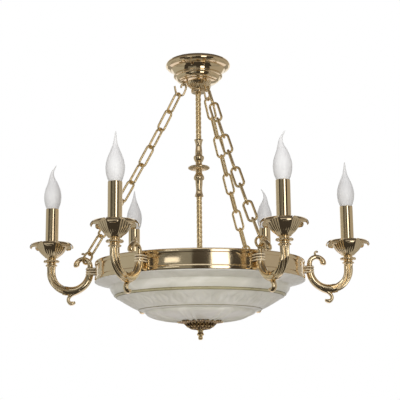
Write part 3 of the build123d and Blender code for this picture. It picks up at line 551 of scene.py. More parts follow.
# Canopy: rolled rim, bell tier and lower tier, pressed from sheet
ROD_HOLE = 4.2
CANOPY_SHEET = 1.2
canopy_rim = reach("canopy")
canopy_base = bottom("canopy")
canopy_side = [
    (canopy_rim - 5.0, 0),
    (canopy_rim - 3.4, -0.3),
    *smooth_line([(canopy_rim - 2.2, -1.6), (canopy_rim - 0.5, -4.4), (canopy_rim, -7.2)], 6),
    *smooth_line([(canopy_rim - 0.8, -9.8), (canopy_rim - 3.6, -12.6), (canopy_rim - 7.4, -14.4)], 6),
    *smooth_line([(canopy_rim - 9, -14.9), (58.0, -15.1), (56.8, -15.1)], 3),
    (56.3, -15.4),
    *smooth_line([(56.3, -16.6), (53.6, -20), (51.6, -23.6), (50.4, -27.4)], 6),
    *smooth_line([(50.6, -28.2), (51.3, -29.6), (50.9, -31.4), (49.2, -32.4)], 5),
    (47.2, -32.6),
    *smooth_line([(46.6, -33.2), (45.6, -36.4), (42.6, -39.4), (38.4, canopy_base)], 6),
    (ROD_HOLE, canopy_base),
    (ROD_HOLE, canopy_base + CANOPY_SHEET),
    (37.5, canopy_base + CANOPY_SHEET),
    (45.5, -31.5),
    (54.5, -16.5),
    (56.0, -13.5),
    (canopy_rim - 1.6, -7.0),
    (canopy_rim - 5.0, -CANOPY_SHEET),
]
piece("canopy_bell", lathe(canopy_side, FINE), brass, ["canopy"])

# Hub: a flange and a ribbed cove under the canopy, with an eye for each hook
HUB_RIBS = 30
HUB_RIB_HEIGHT = 0.3
COVE_TOP = 26.0
COVE_TOP_FADE = 4.0
COVE_FOOT = 14.0
COVE_FOOT_FADE = 3.0
EYE_RADIUS = 30.5
EYE_DROP = 5.1
EYE_RING = 3.4
EYE_WIRE = 1.3
EYE_STEPS = 32
EYE_SIDES = 12
hub_bottom = bottom("canopy_hub")
cove_line = from_level(canopy_base, [(25, -3.4), (22.4, -8.2), (17.6, -13)])
hub_outline = [
    (ROD_HOLE, canopy_base),
    *from_level(canopy_base, [(37.4, 0), (38.0, -0.6), (38.0, -1.6), (37.2, -2.2), (COVE_TOP, -3.2)]),
    *smooth_line([*cove_line, (COVE_FOOT, hub_bottom)]),
    (ROD_HOLE, hub_bottom),
]


def hub_relief(r, z, angle):
    """Fine upright ribs on the cove, which fade out at its ends."""
    fade = rising(r, COVE_TOP, -COVE_TOP_FADE) * rising(r, COVE_FOOT, COVE_FOOT_FADE)
    return HUB_RIB_HEIGHT * fade * np.cos(HUB_RIBS * angle)


def eye_shell():
    """Wire ring under the flange, in which a hook hangs."""
    turn = around(EYE_STEPS)
    path = np.stack([0 * turn, EYE_RING * np.cos(turn), EYE_RING * np.sin(turn)], axis=1)
    ring = tube(path, lambda along, angle: EYE_WIRE + 0 * along, EYE_SIDES, closed=True)
    return shifted(ring, EYE_RADIUS, 0, canopy_base - EYE_DROP)


eyes = [turned(eye_shell(), a) for a in CHAIN_ANGLES]
piece("hub_cove", joined(lathe(hub_outline, FINE, hub_relief), *eyes), brass, ["canopy_hub"])

# Hooks between hub and chains: their solids, a little fatter
HOOK_SWELL = 0.75
piece("hook_wires", swollen("chain_hooks", HOOK_SWELL), brass, ["chain_hooks"])

# Stem: tubes that are twisted like ropes
STEM_STRANDS = 4
STEM_LEAD = 40.0
STEM_DEPTH = 0.15
STEM_SWELL = 1.06
STEM_STEP = 0.8
STEM_SIDES = 36


def stem_tube(name):
    """Tube twisted like a rope, as long as its solid."""
    twist = rope(STEM_SWELL * reach(name), STEM_STRANDS, STEM_LEAD, STEM_DEPTH)
    z = np.arange(bottom(name), top(name), STEM_STEP)[:, None]
    angle = around(STEM_SIDES)[None, :]
    outer = round_rows(twist(z, angle), z, angle)
    inner = round_rows(ROD_HOLE, np.array([[top(name)], [bottom(name)]]), np.repeat(angle, 2, axis=0))
    piece(f"{name}_twist", grid([*outer, *inner], wrap=True), wire_brass, [name])


stem_tube("stem_tube_upper")
stem_tube("stem_tube_lower")

# Knop of the stem: a ribbed lens between two cups and two ferrules with leaves
DISC_RIBS = 36
DISC_RIB_HEIGHT = 0.35
DISC_RIB_START = 9.0
DISC_RIB_FADE = 9.0
DISC_PLAIN_EDGE = 0.5
DISC_SIDES = 288
DISC_HALF = 9.5
CUP_LENGTH = 17.5
FERRULE_LENGTH = 33.0
FERRULE_SEAT = 30.0
FERRULE_LEAVES = 6
FERRULE_LEAF_RADIUS = 6.2
FERRULE_LEAF_START = 17.0
FERRULE_LEAF_LENGTH = 14.0
FERRULE_LEAF_DEPTH = 0.8
FERRULE_LEAF_MIDDLE = 0.75
disc_radius = reach("knop_disc")
knop_z = (bottom("knop_disc") + top("knop_disc")) / 2


def disc_relief(r, z, angle):
    """Fine ribs that fan out over the lens."""
    fade = rising(r, DISC_RIB_START, DISC_RIB_FADE) * (r < disc_radius - DISC_PLAIN_EDGE)
    return DISC_RIB_HEIGHT * fade * np.cos(DISC_RIBS * angle)


def ferrule_relief(r, z, angle):
    """Pointed leaves cut into the flare."""
    fade = rising(z, FERRULE_LEAF_START, FERRULE_LEAF_LENGTH) * (r > FERRULE_LEAF_RADIUS)
    return FERRULE_LEAF_DEPTH * fade * (np.abs(np.cos(FERRULE_LEAVES * angle / 2)) - FERRULE_LEAF_MIDDLE)


half_lens = smooth_line([(6.6, 7.2), (8, 5.4), (14, 4.2), (19.5, 2.4), (disc_radius, 0.35)], 6)
neck = smooth_line([(ROD_HOLE, DISC_HALF), (6.5, DISC_HALF), (7.2, 8.6), (6.6, 7.2)], 5)
lens = np.vstack([neck, half_lens[1:]])
lens = np.vstack([lens, lens[::-1] * (1, -1)])
piece("knop_lens", lathe(lens + (0, knop_z), DISC_SIDES, disc_relief), brass, ["knop_disc"])

cup_line = smooth_line(
    [(6.5, 0), (6.9, 2.0), (9.4, 6.2), (11.0, 11.2), (10.4, 14.6), (8.4, 16.6), (7.6, CUP_LENGTH)], 6
)
cup = lathe([(ROD_HOLE, 0), *cup_line, (ROD_HOLE, CUP_LENGTH)])
ferrule_line = smooth_line([(7.6, 0), (7.3, 8), (6.4, 18), (6.7, 24), (7.8, 29), (9.3, FERRULE_LENGTH)], 6)
ferrule_seat = [(8.4, FERRULE_LENGTH), (6.0, FERRULE_SEAT), (ROD_HOLE, FERRULE_SEAT)]
ferrule = lathe([(ROD_HOLE, 0), *ferrule_line, *ferrule_seat], PLAIN, ferrule_relief)
flip = Matrix.Diagonal((1, 1, -1, 1))
for name, shell, seat in (("knop_cup", cup, "knop_disc"), ("stem_ferrule", ferrule, "knop_cup_upper")):
    upper = shifted(shell, 0, 0, top(seat) - knop_z)
    piece(f"{name}_turned_upper", shifted(upper, 0, 0, knop_z), brass, [f"{name}_upper"])
    piece(f"{name}_turned_lower", shifted(moved(upper, flip), 0, 0, knop_z), brass, [f"{name}_lower"])

# Chains: each link is twisted wire, laid where its solid is
LINK_STRANDS = 3
LINK_LEAD = 9.0
LINK_DEPTH = 0.22
LINK_SWELL = 1.25
LINK_STEP = 0.45
LINK_SIDES = 12
FIT_ROUNDS = 3


def oval_path(length, width, step):
    """Closed oval in the XY plane, its long axis along X, and the length of its line."""
    end = (length - width) / 2
    bend = pi * width / 2
    total = 4 * end + 2 * bend
    points = []
    for s in np.linspace(0, total, round(total / step), endpoint=False):
        if s < 2 * end:
            points.append((-end + s, width / 2, 0))
        elif s < 2 * end + bend:
            a = pi / 2 - (s - 2 * end) / (width / 2)
            points.append((end + width / 2 * cos(a), width / 2 * sin(a), 0))
        elif s < 4 * end + bend:
            points.append((end - (s - 2 * end - bend), -width / 2, 0))
        else:
            a = -pi / 2 - (s - 4 * end - bend) / (width / 2)
            points.append((-end + width / 2 * cos(a), width / 2 * sin(a), 0))
    return points, total


def twisted_link(cloud):
    """Rope-twisted oval that lies in a link's point cloud."""
    middle = (cloud.max(axis=0) + cloud.min(axis=0)) / 2
    for _ in range(FIT_ROUNDS):
        _, _, axes = np.linalg.svd(cloud - middle, full_matrices=False)
        local = (cloud - middle) @ axes.T
        middle = middle + ((local.max(axis=0) + local.min(axis=0)) / 2) @ axes
    size = local.max(axis=0) - local.min(axis=0)
    wire = size[2] / 2
    path, total = oval_path(size[0] - 2 * wire, size[1] - 2 * wire, LINK_STEP)
    lead = total * LINK_STRANDS / round(total * LINK_STRANDS / LINK_LEAD)
    shell = tube(path, rope(LINK_SWELL * wire, LINK_STRANDS, lead, LINK_DEPTH), LINK_SIDES, closed=True)
    return shell[0] @ axes + middle, shell[1]


for name in ("chain_left", "chain_front", "chain_rear"):
    piece(f"{name}_links", joined(*map(twisted_link, islands(name))), wire_brass, [name])

# Arms: a fluted bow that grows out of a leaf sheath, with scroll, bud, tail and reeded boss
# Sizes are radii at shares of a stroke's length
ARM_BOSS_DROP = 16.2
ARM_REACH = 12.3
ARM_LEG = 9.5
BOW_START = 0.25
BOW_OUTER = 9.0
BOW_INNER = 7.2
BOW_FLUTES = 8
BOW_TURNS = 0.35
BOW_DEPTH = 2.2
BOW_FLUTE_GROWTH = 3
BOW_STEPS = 90
BOW_SIDES = 90
LEG_START = 1.0
LEG_STEPS = 9
SHEATH_END = 0.56
SHEATH_LOBES = 5
SHEATH_LOBE = 0.05
SHEATH_RIB = 0.35
SHEATH_SKIN = 0.4
SHEATH_FLARE = 1.5
SHEATH_SINK = 1.0
SHEATH_STEPS = 48
SHEATH_SIDES = 60
SCROLL_RISE = 12.0
SCROLL_RADIUS = 13.6
SCROLL_ANGLES = (180, -14)
SCROLL_SHARES = (0, 0.2, 0.55, 0.76, 0.88, 0.95, 0.985, 1)
SCROLL_SIZES = (6.6, 5.6, 4.8, 5.2, 6.5, 6.2, 4.0, 0.5)
SCROLL_SEAM = 0.125
SCROLL_SEAM_SHARPNESS = 12
SCROLL_SIDES = 28
RISE_STEPS = 8
CURL_STEPS = 44
BUD_LINE = ((1.5, -1.5), (-1.0, 3.4), (-2.6, 7.2), (-1.2, 10.6), (1.8, 10.8), (2.9, 8.6))
BUD_SHARES = (0, 0.3, 0.7, 0.86, 0.96, 1)
BUD_SIZES = (3.3, 2.4, 1.9, 2.3, 1.8, 0.3)
BUD_SIDES = 16
TAIL_LINE = ((229.0, -22), (237.0, -33.0), (247.5, -41.0), (257.5, -46.0), (264.0, -52.6), (264.2, -59.4))
TAIL_CURL = ((259.4, -63.6), (253.6, -62.2), (251.6, -59.2))
TAIL_SHARES = (0, 0.12, 0.3, 0.45, 0.6, 0.78, 0.88, 0.96, 1)
TAIL_SIZES = (1.4, 4.2, 5.4, 4.4, 3.6, 3.6, 4.4, 3.6, 0.5)
TAIL_BREADTH = 1.45
TAIL_SIDES = 20
BOSS_GAP = 0.15
BOSS_HEIGHT = 15.4
BOSS_CORE = 7.2
BOSS_NOSE = 8.5
CORE_NOSE = 7.7
NOSE_STEPS = 24
FLANK_STEPS = 8
REED_COUNT = 3
REED_DEPTH = 2.4
REED_HALF = 1.6
REED_STEPS = 17

sleeve_low, sleeve_high = box_mm("candle_sleeve_1")
candle_radius = (sleeve_low[0] + sleeve_high[0]) / 2
arm_z = ring_top - ARM_BOSS_DROP
arm_inner = band + ARM_REACH
arc_radius = (candle_radius - arm_inner) / 2
arc_centre = arm_inner + arc_radius


def flat(points):
    """Points of (radius, height) as points of the first arm's plane."""
    p = np.asarray(points, float)
    return np.stack([p[:, 0], 0 * p[:, 0], p[:, 1]], axis=1)


def bow_shell():
    """Bow and leg with spiral flutes, which fade into the sheath."""
    turn = pi + pi * np.linspace(BOW_START, 1.0, BOW_STEPS)
    bow = [(arc_centre + arc_radius * cos(t), arm_z + arc_radius * sin(t)) for t in turn]
    leg = [(candle_radius, arm_z + h) for h in np.linspace(LEG_START, ARM_LEG, LEG_STEPS)]

    def radius(along, angle):
        share = along / along.max()
        size = BOW_INNER + (BOW_OUTER - BOW_INNER) * share
        phase = BOW_FLUTES * (angle / 2) + pi * BOW_FLUTES * BOW_TURNS * share
        return size - BOW_DEPTH * np.clip(BOW_FLUTE_GROWTH * share, 0, 1) * (1 - np.abs(np.cos(phase)))

    return tube(flat([*bow, *leg]), radius, BOW_SIDES)


def sheath_shell():
    """Leaf sheath round the inner half of the bow, whose lobed end opens a little."""
    share = np.linspace(0, 1, SHEATH_STEPS)[:, None]
    angle = around(SHEATH_SIDES)[None, :]
    turn = pi + pi * share * (SHEATH_END + SHEATH_LOBE * np.cos(SHEATH_LOBES * angle))

    def rows(size):
        r = arc_radius + size * np.cos(angle) + 0 * turn
        across = size * np.sin(angle) + 0 * turn
        return np.stack([arc_centre + r * np.cos(turn), across, arm_z + r * np.sin(turn)], axis=2)

    ribs = SHEATH_RIB * np.abs(np.cos(SHEATH_LOBES * angle / 2)) * share
    outer = rows(BOW_INNER + SHEATH_SKIN + SHEATH_FLARE * share**2 + ribs)
    inner = rows(BOW_INNER - SHEATH_SINK)
    return grid([*outer, *inner[::-1]], wrap=True)


def scroll_shell():
    """Stroke that rises from the boss and curls over to a round end."""
    x, z = arm_inner + SCROLL_RADIUS, arm_z + SCROLL_RISE
    rise = [(arm_inner, arm_z + h) for h in np.linspace(0, SCROLL_RISE, RISE_STEPS, endpoint=False)]
    turn = np.radians(np.linspace(*SCROLL_ANGLES, CURL_STEPS))
    curl = [(x + SCROLL_RADIUS * cos(t), z + SCROLL_RADIUS * sin(t)) for t in turn]
    size = tapered(SCROLL_SHARES, SCROLL_SIZES)

    def radius(along, angle):
        seam = SCROLL_SEAM * np.exp(-((np.cos(angle) + 1) * SCROLL_SEAM_SHARPNESS))
        return size(along, angle) * (1 - seam)

    return tube(flat([*rise, *curl]), radius, SCROLL_SIDES)


def bud_shell():
    """Small curl on top of the scroll."""
    x, z = arm_inner + SCROLL_RADIUS, arm_z + SCROLL_RISE + SCROLL_RADIUS
    line = [(x + out, z + up) for out, up in BUD_LINE]
    return tube(flat(smooth_line(line)), tapered(BUD_SHARES, BUD_SIZES), BUD_SIDES)


def tail_shell():
    """Tail that peels off the sheath below and hooks back."""
    line = smooth_line(from_level(arm_z, TAIL_LINE + TAIL_CURL))
    points, faces = tube(flat(line), tapered(TAIL_SHARES, TAIL_SIZES), TAIL_SIDES)
    return points * (1, TAIL_BREADTH, 1), faces


def boss_shell(levels, nose):
    """Block between ring and arm from levels of (height, half breadth), with a round end of one radius."""
    turn = np.linspace(-pi / 2, pi / 2, NOSE_STEPS)
    side = np.linspace(band + BOSS_GAP, arm_inner, FLANK_STEPS)
    rows = []
    for level, breadth in levels:
        ends = [nose + (breadth - nose) * abs(sin(t)) for t in turn]
        outline = [(x, -breadth) for x in side[:-1]]
        outline += [(arm_inner + r * cos(t), r * sin(t)) for r, t in zip(ends, turn)]
        outline += [(x, breadth) for x in side[-2::-1]]
        rows.append([(x, y, arm_z + level) for x, y in outline])
    return grid(rows)


def reed_shell(middle):
    """One half-round reed along both flanks of the boss, at a height."""
    levels = []
    for place in np.sin(np.linspace(-pi / 2, pi / 2, REED_STEPS)):
        rise = REED_DEPTH * np.sqrt(max(1 - place**2, 0))
        levels.append((middle + REED_HALF * place, BOSS_CORE + rise))
    return boss_shell(levels, BOSS_NOSE)


arm = joined(bow_shell(), sheath_shell(), scroll_shell(), bud_shell(), tail_shell())
reed_pitch = BOSS_HEIGHT / REED_COUNT
core = boss_shell([(-BOSS_HEIGHT / 2, BOSS_CORE), (BOSS_HEIGHT / 2, BOSS_CORE)], CORE_NOSE)
reeds = joined(*(reed_shell(reed_pitch * (i - (REED_COUNT - 1) / 2)) for i in range(REED_COUNT)))
for i, angle in ARMS:
    piece(f"arm_{i}_cast", turned(arm, angle), cast_brass, [f"arm_{i}"])
    # The boss core is painted dark, as the shade in the gaps between the reeds
    piece(f"arm_{i}_boss", turned(core, angle), painted_shade_brass)
    piece(f"arm_{i}_reeds", turned(reeds, angle), reed_brass)

# Collars under the pans: two beaded rings
NIPPLE_HOLE = 5.05
COLLAR_HEIGHT = 18.5
COLLAR_SIDES = 72
BEAD_SHAPE = (0.95, 14)
BEAD_RINGS = ((14, 13.6, 11.9, 2.6), (12, 10.3, 3.7, 1.7))
collar_outline = [
    (NIPPLE_HOLE, 0),
    (8.7, 0),
    (8.7, 1.4),
    *smooth_line([(10.0, 1.8), (11.2, 2.8), (11.2, 4.6), (10.0, 5.6)], 4),
    (8.7, 6.6),
    (8.9, 8.4),
    *smooth_line([(12.0, 9.2), (14.6, 10.6), (14.6, 13.2), (12.0, 14.6)], 4),
    (8.8, 15.6),
    (9.2, 17.4),
    (10.0, COLLAR_HEIGHT),
    (NIPPLE_HOLE, COLLAR_HEIGHT),
]
collar_beads = [bead for row in BEAD_RINGS for bead in ball_ring(*row, *BEAD_SHAPE)]
collar = joined(lathe(collar_outline, COLLAR_SIDES), *collar_beads)
collar = shifted(collar, candle_radius, 0, arm_z + ARM_LEG)
piece("collar_beads", joined(*(turned(collar, a) for a in ARM_ANGLES)), cast_brass, ["arm_collars"])

# Drip pans: petalled dishes with fluted cups, which all face the same way
PAN_SHEET = 1.3
PAN_PETALS = 8
PAN_FLUTES = 32
PAN_NOTCH = 0.53
PAN_FLUTE_DEPTH = 0.55
PAN_FLUTED = (0.1, 0.56)
PAN_FLATNESS = 1.0
PAN_FLOOR = 5.5
PAN_FLOOR_RADIUS = 15.0
PAN_SIDES = 320
pan_cup = [(12.4, 0), (13.6, 1.6), (16.4, 4.4), (20.8, 8.8), (24.2, 13.0), (27.0, 17.4), (29.4, 22.2)]
pan_lip = [(31.4, 26.2), (33.2, 28.4), (35.6, 29.4), (38.2, 28.8), (40.6, 27.0), (42.3, 24.6), (42.8, 22.4)]
pan_edge = [(42.2, 21.1), (41.2, 21.0)]
pan = petal_dish(
    smooth_line([*pan_cup, *pan_lip, *pan_edge], 4),
    PAN_SHEET,
    PAN_PETALS,
    PAN_NOTCH,
    PAN_FLUTES,
    PAN_FLUTE_DEPTH,
    PAN_FLUTED,
    [(PAN_FLOOR_RADIUS, PAN_FLOOR), (NIPPLE_HOLE, PAN_FLOOR), (NIPPLE_HOLE, 0)],
    PAN_SIDES,
    PAN_FLATNESS,
)


def candle_place(angle, level):
    """Point on the axis of the candle at an angle in degrees."""
    return candle_radius * cos(radians(angle)), candle_radius * sin(radians(angle)), level


for i, angle in ARMS:
    placed = shifted(pan, *candle_place(angle, bottom("drip_pan_1")))
    piece(f"drip_pan_{i}_petals", placed, satin_brass, [f"drip_pan_{i}"])

# Candle sleeves: plain polished tubes with a softened top edge
SLEEVE_WALL = 1.0
SLEEVE_SIDES = 128
sleeve_radius = (sleeve_high[0] - sleeve_low[0]) / 2
sleeve_bottom, sleeve_top = sleeve_low[2], sleeve_high[2]
sleeve_outline = [
    (sleeve_radius - SLEEVE_WALL, sleeve_bottom),
    (sleeve_radius, sleeve_bottom),
    (sleeve_radius, sleeve_top - 0.4),
    (sleeve_radius - 0.15, sleeve_top - 0.1),
    (sleeve_radius - 0.5, sleeve_top),
    (sleeve_radius - SLEEVE_WALL, sleeve_top - 0.3),
]
sleeve = shifted(lathe(held(sleeve_outline), SLEEVE_SIDES), candle_radius, 0, 0)
for i, angle in ARMS:
    piece(f"candle_sleeve_{i}_tube", turned(sleeve, angle), brass, [f"candle_sleeve_{i}"])

# Candle bulbs: flame-shaped frosted glass whose tip sways one way and flicks the other, on a screw cap
BULB_TURNS = (265.0, 180.0, 90.0, 0.0, 280.0, 0.0)
BULB_SIDES = 48
SWAY = ((0, 0), (50, 0), (62, -1.6), (72, -2.4), (80, -0.6), (86, 2.6), (92, 6.4))
bulb_belly = [(6.6, -10.9), (9.6, -4.5), (11.5, 0), (14.0, 6), (16.3, 14), (17.5, 25), (16.9, 33), (15.2, 41)]
bulb_flame = [(12.4, 49), (8.9, 58), (5.4, 67), (3.2, 76), (1.9, 85), (1.2, 90)]
bulb_tip = [(0.9, 91.4), (0.3, 92.0)]
bulb_line = np.vstack([smooth_line(bulb_belly + bulb_flame, 5), bulb_tip])
cap_line = [(0.3, -31.9), (3.0, -31.9), (3.0, -30.0), (6.9, -29.0), (6.9, -11.2), (0.3, -11.2)]


def bulb_shell():
    """Glass of one bulb, made about Z above the top of the sleeve, its tip towards +X."""
    line = smooth_line(SWAY, 6)
    angle = around(BULB_SIDES)[None, :]
    r, z = bulb_line[:, :1], bulb_line[:, 1:]
    sway = np.interp(z, line[:, 0], line[:, 1])
    return grid(np.stack([sway + r * np.cos(angle), r * np.sin(angle), z + 0 * angle], axis=2))


bulb = bulb_shell()
cap = lathe(cap_line, BULB_SIDES, closed=False)
for (i, angle), tip in zip(ARMS, BULB_TURNS):
    stand = candle_place(angle, sleeve_top)
    flame = shifted(turned(bulb, tip), *stand)
    lamp = f"candle_lamp_{i}"
    piece(f"candle_bulb_{i}_glass", flame, bulb_glass, [f"candle_bulb_{i}"], lamp)
    piece(f"candle_bulb_{i}_cap", shifted(cap, *stand), zinc, (), lamp)

# Glass bowl with embossed leaves and petals and painted gold lines; its line counts from under the ring
BOWL_GAP = 0.1
BOWL_WALL = 5.0
BOWL_LIP = 6.0
BOWL_SIDES = 480
PAD_RADIUS = 19.0
PAD_HOLE = 6.0
TIER_DEPTH = 59.0
DOME_DEPTH = 63.0
TIER_LEAVES = 24
TIER_RELIEF = 1.9
LEAF_SPREAD = 0.36
LEAF_STROKE = 0.075
LEAF_RIB = 0.7
LEAF_INNER = 127.0
LEAF_OUTER = 165.0
LEAF_TOP_DEPTH = 30.0
SPREAD_SHARP = 0.8
RELIEF_SHARP = 0.5
DOME_PETALS = 8
DOME_RELIEF = 3.2
DOME_START = radians(-83.0)
PETAL_INNER = 30.0
PETAL_OUTER = 111.0
PETAL_EDGE = 0.37
PETAL_GROOVE = 0.045
GOLD_LINES = ((172.0, 0.8, 0.9), (167.6, 0.9, 0.9), (123.6, 0.9, 0.8))
GOLD_BAND = (169.8, 2.4, 0.5)
GOLD_SIDES = 10
bowl_top = ring_bottom - BOWL_GAP
bowl_bottom = bottom("bowl")
tier_end = bowl_top - TIER_DEPTH


def below_ring(points, steps):
    """Smooth line through points of radius and depth under the ring."""
    return smooth_line([(r, bowl_top - depth) for r, depth in points], steps)


flange_line = below_ring(
    [(211.4, 0.6), (210.0, 1.8), (204, 3.4), (198, 5.0), (191, 7.0), (185.4, 8.8), (182.6, 10.0)], 4
)
tier_side = [(181.6, 11.2), (180.6, 15), (178.6, 19.6), (175.4, 24.4), (170.8, 29.2)]
tier_under = [(161, 36.2), (150, 43), (138, 49.8), (126, 55.6), (117.0, TIER_DEPTH)]
tier_line = below_ring(tier_side + tier_under, 6)
dome_side = [(111.5, 60.6), (110.8, 62.4), (107.6, 65.2), (101, 68.0), (91, 71.0)]
dome_under = [(78, 73.6), (64, 75.8), (50, 77.8), (40, 79.0), (30, 79.8), (24, 80.2)]
dome_line = below_ring(dome_side + dome_under, 6)
dome_inside = [(24, 76.4), (40, 74.0), (64, 70.8), (78, 68.6), (91, 66.0), (101, 62.4), (106, 58.4)]
bowl_outer = [
    *from_level(bowl_top, [(207.0, BOWL_LIP), (207.0, 0.2), (210.9, 0)]),
    *flange_line,
    *tier_line,
    *from_level(tier_end, [(114.5, -0.1), (112.4, -0.5)]),
    *dome_line,
    (20.4, bowl_top - 81.6),
    *from_level(bowl_bottom, [(PAD_RADIUS, 0), (12.0, 0), (PAD_HOLE, 0)]),
]
bowl_inner = [
    *from_level(bowl_bottom, [(PAD_HOLE, BOWL_WALL), (PAD_RADIUS, BOWL_WALL)]),
    *below_ring(dome_inside, 4),
    (107.0, tier_end + BOWL_WALL),
    *bulged((115.5, tier_end + BOWL_WALL), (173.0, bowl_top - 17.0), -6.0, steps=16),
    *from_level(bowl_top, [(177.0, -10.0), (181.0, -5.4), (202.0, 0.4), (202.0, BOWL_LIP)]),
]


def window(value, low, high, sharp):
    """Rises from 0 at low to 1 in the middle and falls back to 0 at high."""
    return np.sin(pi * rising(value, low, high - low)) ** sharp


def stroke(place, width):
    """Soft ridge about a place, 1 high."""
    return np.exp(-((place / width) ** 2))


def bowl_relief(r, z, angle):
    """Outlined leaves with a rib on the tier and grooved petals on the dome, on the outside only."""
    outside = np.zeros_like(r)
    outside[: len(bowl_outer)] = 1
    across = np.abs(repeat_place(angle, TIER_LEAVES))
    spread = LEAF_SPREAD * window(r, LEAF_INNER, LEAF_OUTER, SPREAD_SHARP)
    lines = stroke(across - spread, LEAF_STROKE) + LEAF_RIB * stroke(across, LEAF_STROKE)
    on_tier = (z < bowl_top - LEAF_TOP_DEPTH) * (z > bowl_top - DOME_DEPTH)
    leaf = lines * window(r, LEAF_INNER, LEAF_OUTER, RELIEF_SHARP) * on_tier
    across = np.abs(repeat_place(angle - DOME_START, DOME_PETALS))
    groove = stroke(across - PETAL_EDGE, PETAL_GROOVE)
    petal = -groove * window(r, PETAL_INNER, PETAL_OUTER, RELIEF_SHARP) * (r < PETAL_OUTER)
    return outside * (TIER_RELIEF * leaf + DOME_RELIEF * petal)


def gold_line(radius, thick, rise):
    """Painted ring on the tier at a radius: half its breadth along the glass, and its rise over it."""
    level = np.interp(-radius, -tier_line[:, 0], tier_line[:, 1])
    near = np.interp(1 - radius, -tier_line[:, 0], tier_line[:, 1])
    run = np.array([1.0, level - near])
    run /= np.linalg.norm(run)
    out = np.array([run[1], -run[0]])
    a = around(GOLD_SIDES)[:, None]
    return lathe(np.array([radius, level]) + thick * np.cos(a) * run + rise * np.sin(a) * out, FINE)


bowl_shell = lathe([*bowl_outer, *bowl_inner], BOWL_SIDES, bowl_relief)
fine_lines = joined(*(gold_line(*line) for line in GOLD_LINES))
piece("bowl_glass_shell", bowl_shell, bowl_glass, ["bowl"], "bowl_assembly")
piece("bowl_gold_lines", fine_lines, dark_gold, (), "bowl_assembly")
piece("bowl_gold_band", gold_line(*GOLD_BAND), gold_paint, (), "bowl_assembly")

# Rosette: a flat upper tier and a cupped lower tier of leaves, with rings of beads
ROSETTE_GAP = 1.0
ROSETTE_SHEET = 1.4
ROSETTE_DROPS = ((26, 1.6), (32, 2.0), (38, 2.2), (43, 1.6), (47.4, 0.4))
ROSETTE_RISES = ((6.2, 2.4), (10, 2.6), (17, 3.8), (23, 6.6), (28, 10.4), (31.6, 13.8), (33.0, 15.6))
BEAD_ROWS = ((22, 26.0, 8.2, 1.7), (16, 18.6, 3.8, 1.5), (30, 33.2, 15.0, 1.7))
TIP_BEAD_COUNT = 52
TIP_BEAD_RADIUS = 45.2
TIP_BEAD_RISE = 0.4
TIP_BEAD_SIZE = 1.25
rosette_bottom = bottom("finial_rosette")


def dome_level(radius):
    """Height of the dome's outside at a radius."""
    return np.interp(-radius, -dome_line[:, 0], dome_line[:, 1])


leaf_points = [(r, dome_level(r) - ROSETTE_GAP - drop) for r, drop in ROSETTE_DROPS]
upper_leaves = petal_dish(
    smooth_line(leaf_points, 6),
    ROSETTE_SHEET,
    petals=26,
    notch=0.34,
    flutes=52,
    depth=1.2,
    fluted=(0.0, 1.0),
    floor=[(24, leaf_points[0][1])],
    segments=416,
)
lower_leaves = petal_dish(
    smooth_line(from_level(rosette_bottom, ROSETTE_RISES)),
    ROSETTE_SHEET,
    petals=12,
    notch=0.25,
    flutes=24,
    depth=3.0,
    fluted=(0.05, 1.0),
    floor=from_level(rosette_bottom, [(ROD_HOLE, 6), (ROD_HOLE, 2.4)]),
    segments=288,
)
rosette_beads = []
for count, radius, rise, size in BEAD_ROWS:
    rosette_beads += ball_ring(count, radius, rosette_bottom + rise, size)
tip_level = leaf_points[-2][1] + TIP_BEAD_RISE
rosette_beads += ball_ring(TIP_BEAD_COUNT, TIP_BEAD_RADIUS, tip_level, TIP_BEAD_SIZE)
# The leaves are painted dark, as the shade in their deep pierced relief under the bowl
piece("rosette_leaves", joined(upper_leaves, lower_leaves), painted_shade_brass, ["finial_rosette"], "bowl_assembly")
piece("rosette_beads", joined(*rosette_beads), wire_brass, (), "bowl_assembly")

# Drop: a turned nut that screws on the end of the rod
DROP_TOP = 21.2
DROP_HOLE_END = 8.1
DROP_TIP_RADIUS = 0.4
DROP_SIDES = 64
drop_bottom = bottom("finial_drop")
drop_neck = [(6.3, DROP_TOP), (6.3, 19.4), (5.0, 16.0), (6.4, 13.4), (7.2, 11.5), (6.3, 9.7)]
drop_ball = [(4.1, 7.9), (4.6, 5.8), (4.8, 4.0), (4.0, 1.7), (2.4, 0.5), (DROP_TIP_RADIUS, 0.05)]
drop_outline = [
    (DROP_TIP_RADIUS, rosette_bottom - DROP_HOLE_END),
    (ROD_HOLE, rosette_bottom - DROP_HOLE_END),
    (ROD_HOLE, drop_bottom + DROP_TOP),
    *smooth_line(from_level(drop_bottom, drop_neck + drop_ball), 6),
]
drop = lathe(drop_outline, DROP_SIDES, closed=False)
piece("finial_drop_turned", drop, wire_brass, ["finial_drop"], "finial")

# Stage, in metres: a pale floor far below, and the panels and discs that polished metal mirrors
FLOOR_Z = -1.5
FLOOR_RADIUS = 6.5
FLOOR_SIDES = 128
FLOOR_COLOUR = (0.66, 0.635, 0.575)
FLOOR_ROUGHNESS = 0.7
CEILING_Z = 2.4
RUG_Z = FLOOR_Z + 0.02
PANEL_RADIUS = 2.9
PANEL_STEPS = 48
DISC_STEPS = 64
OLIVE = (1.0, 1.0, 0.93)
WARM = (1.0, 0.93, 0.83)
WHITE = (1.0, 0.98, 0.95)
BROWN = (1.0, 0.88, 0.75)
SWEEP = (1.0, 0.95, 1.0)
LOW_WALL = (FLOOR_Z, 0.7)
HIGH_WALL = (1.0, 1.7)
ALL_WALLS = (-145, 145)

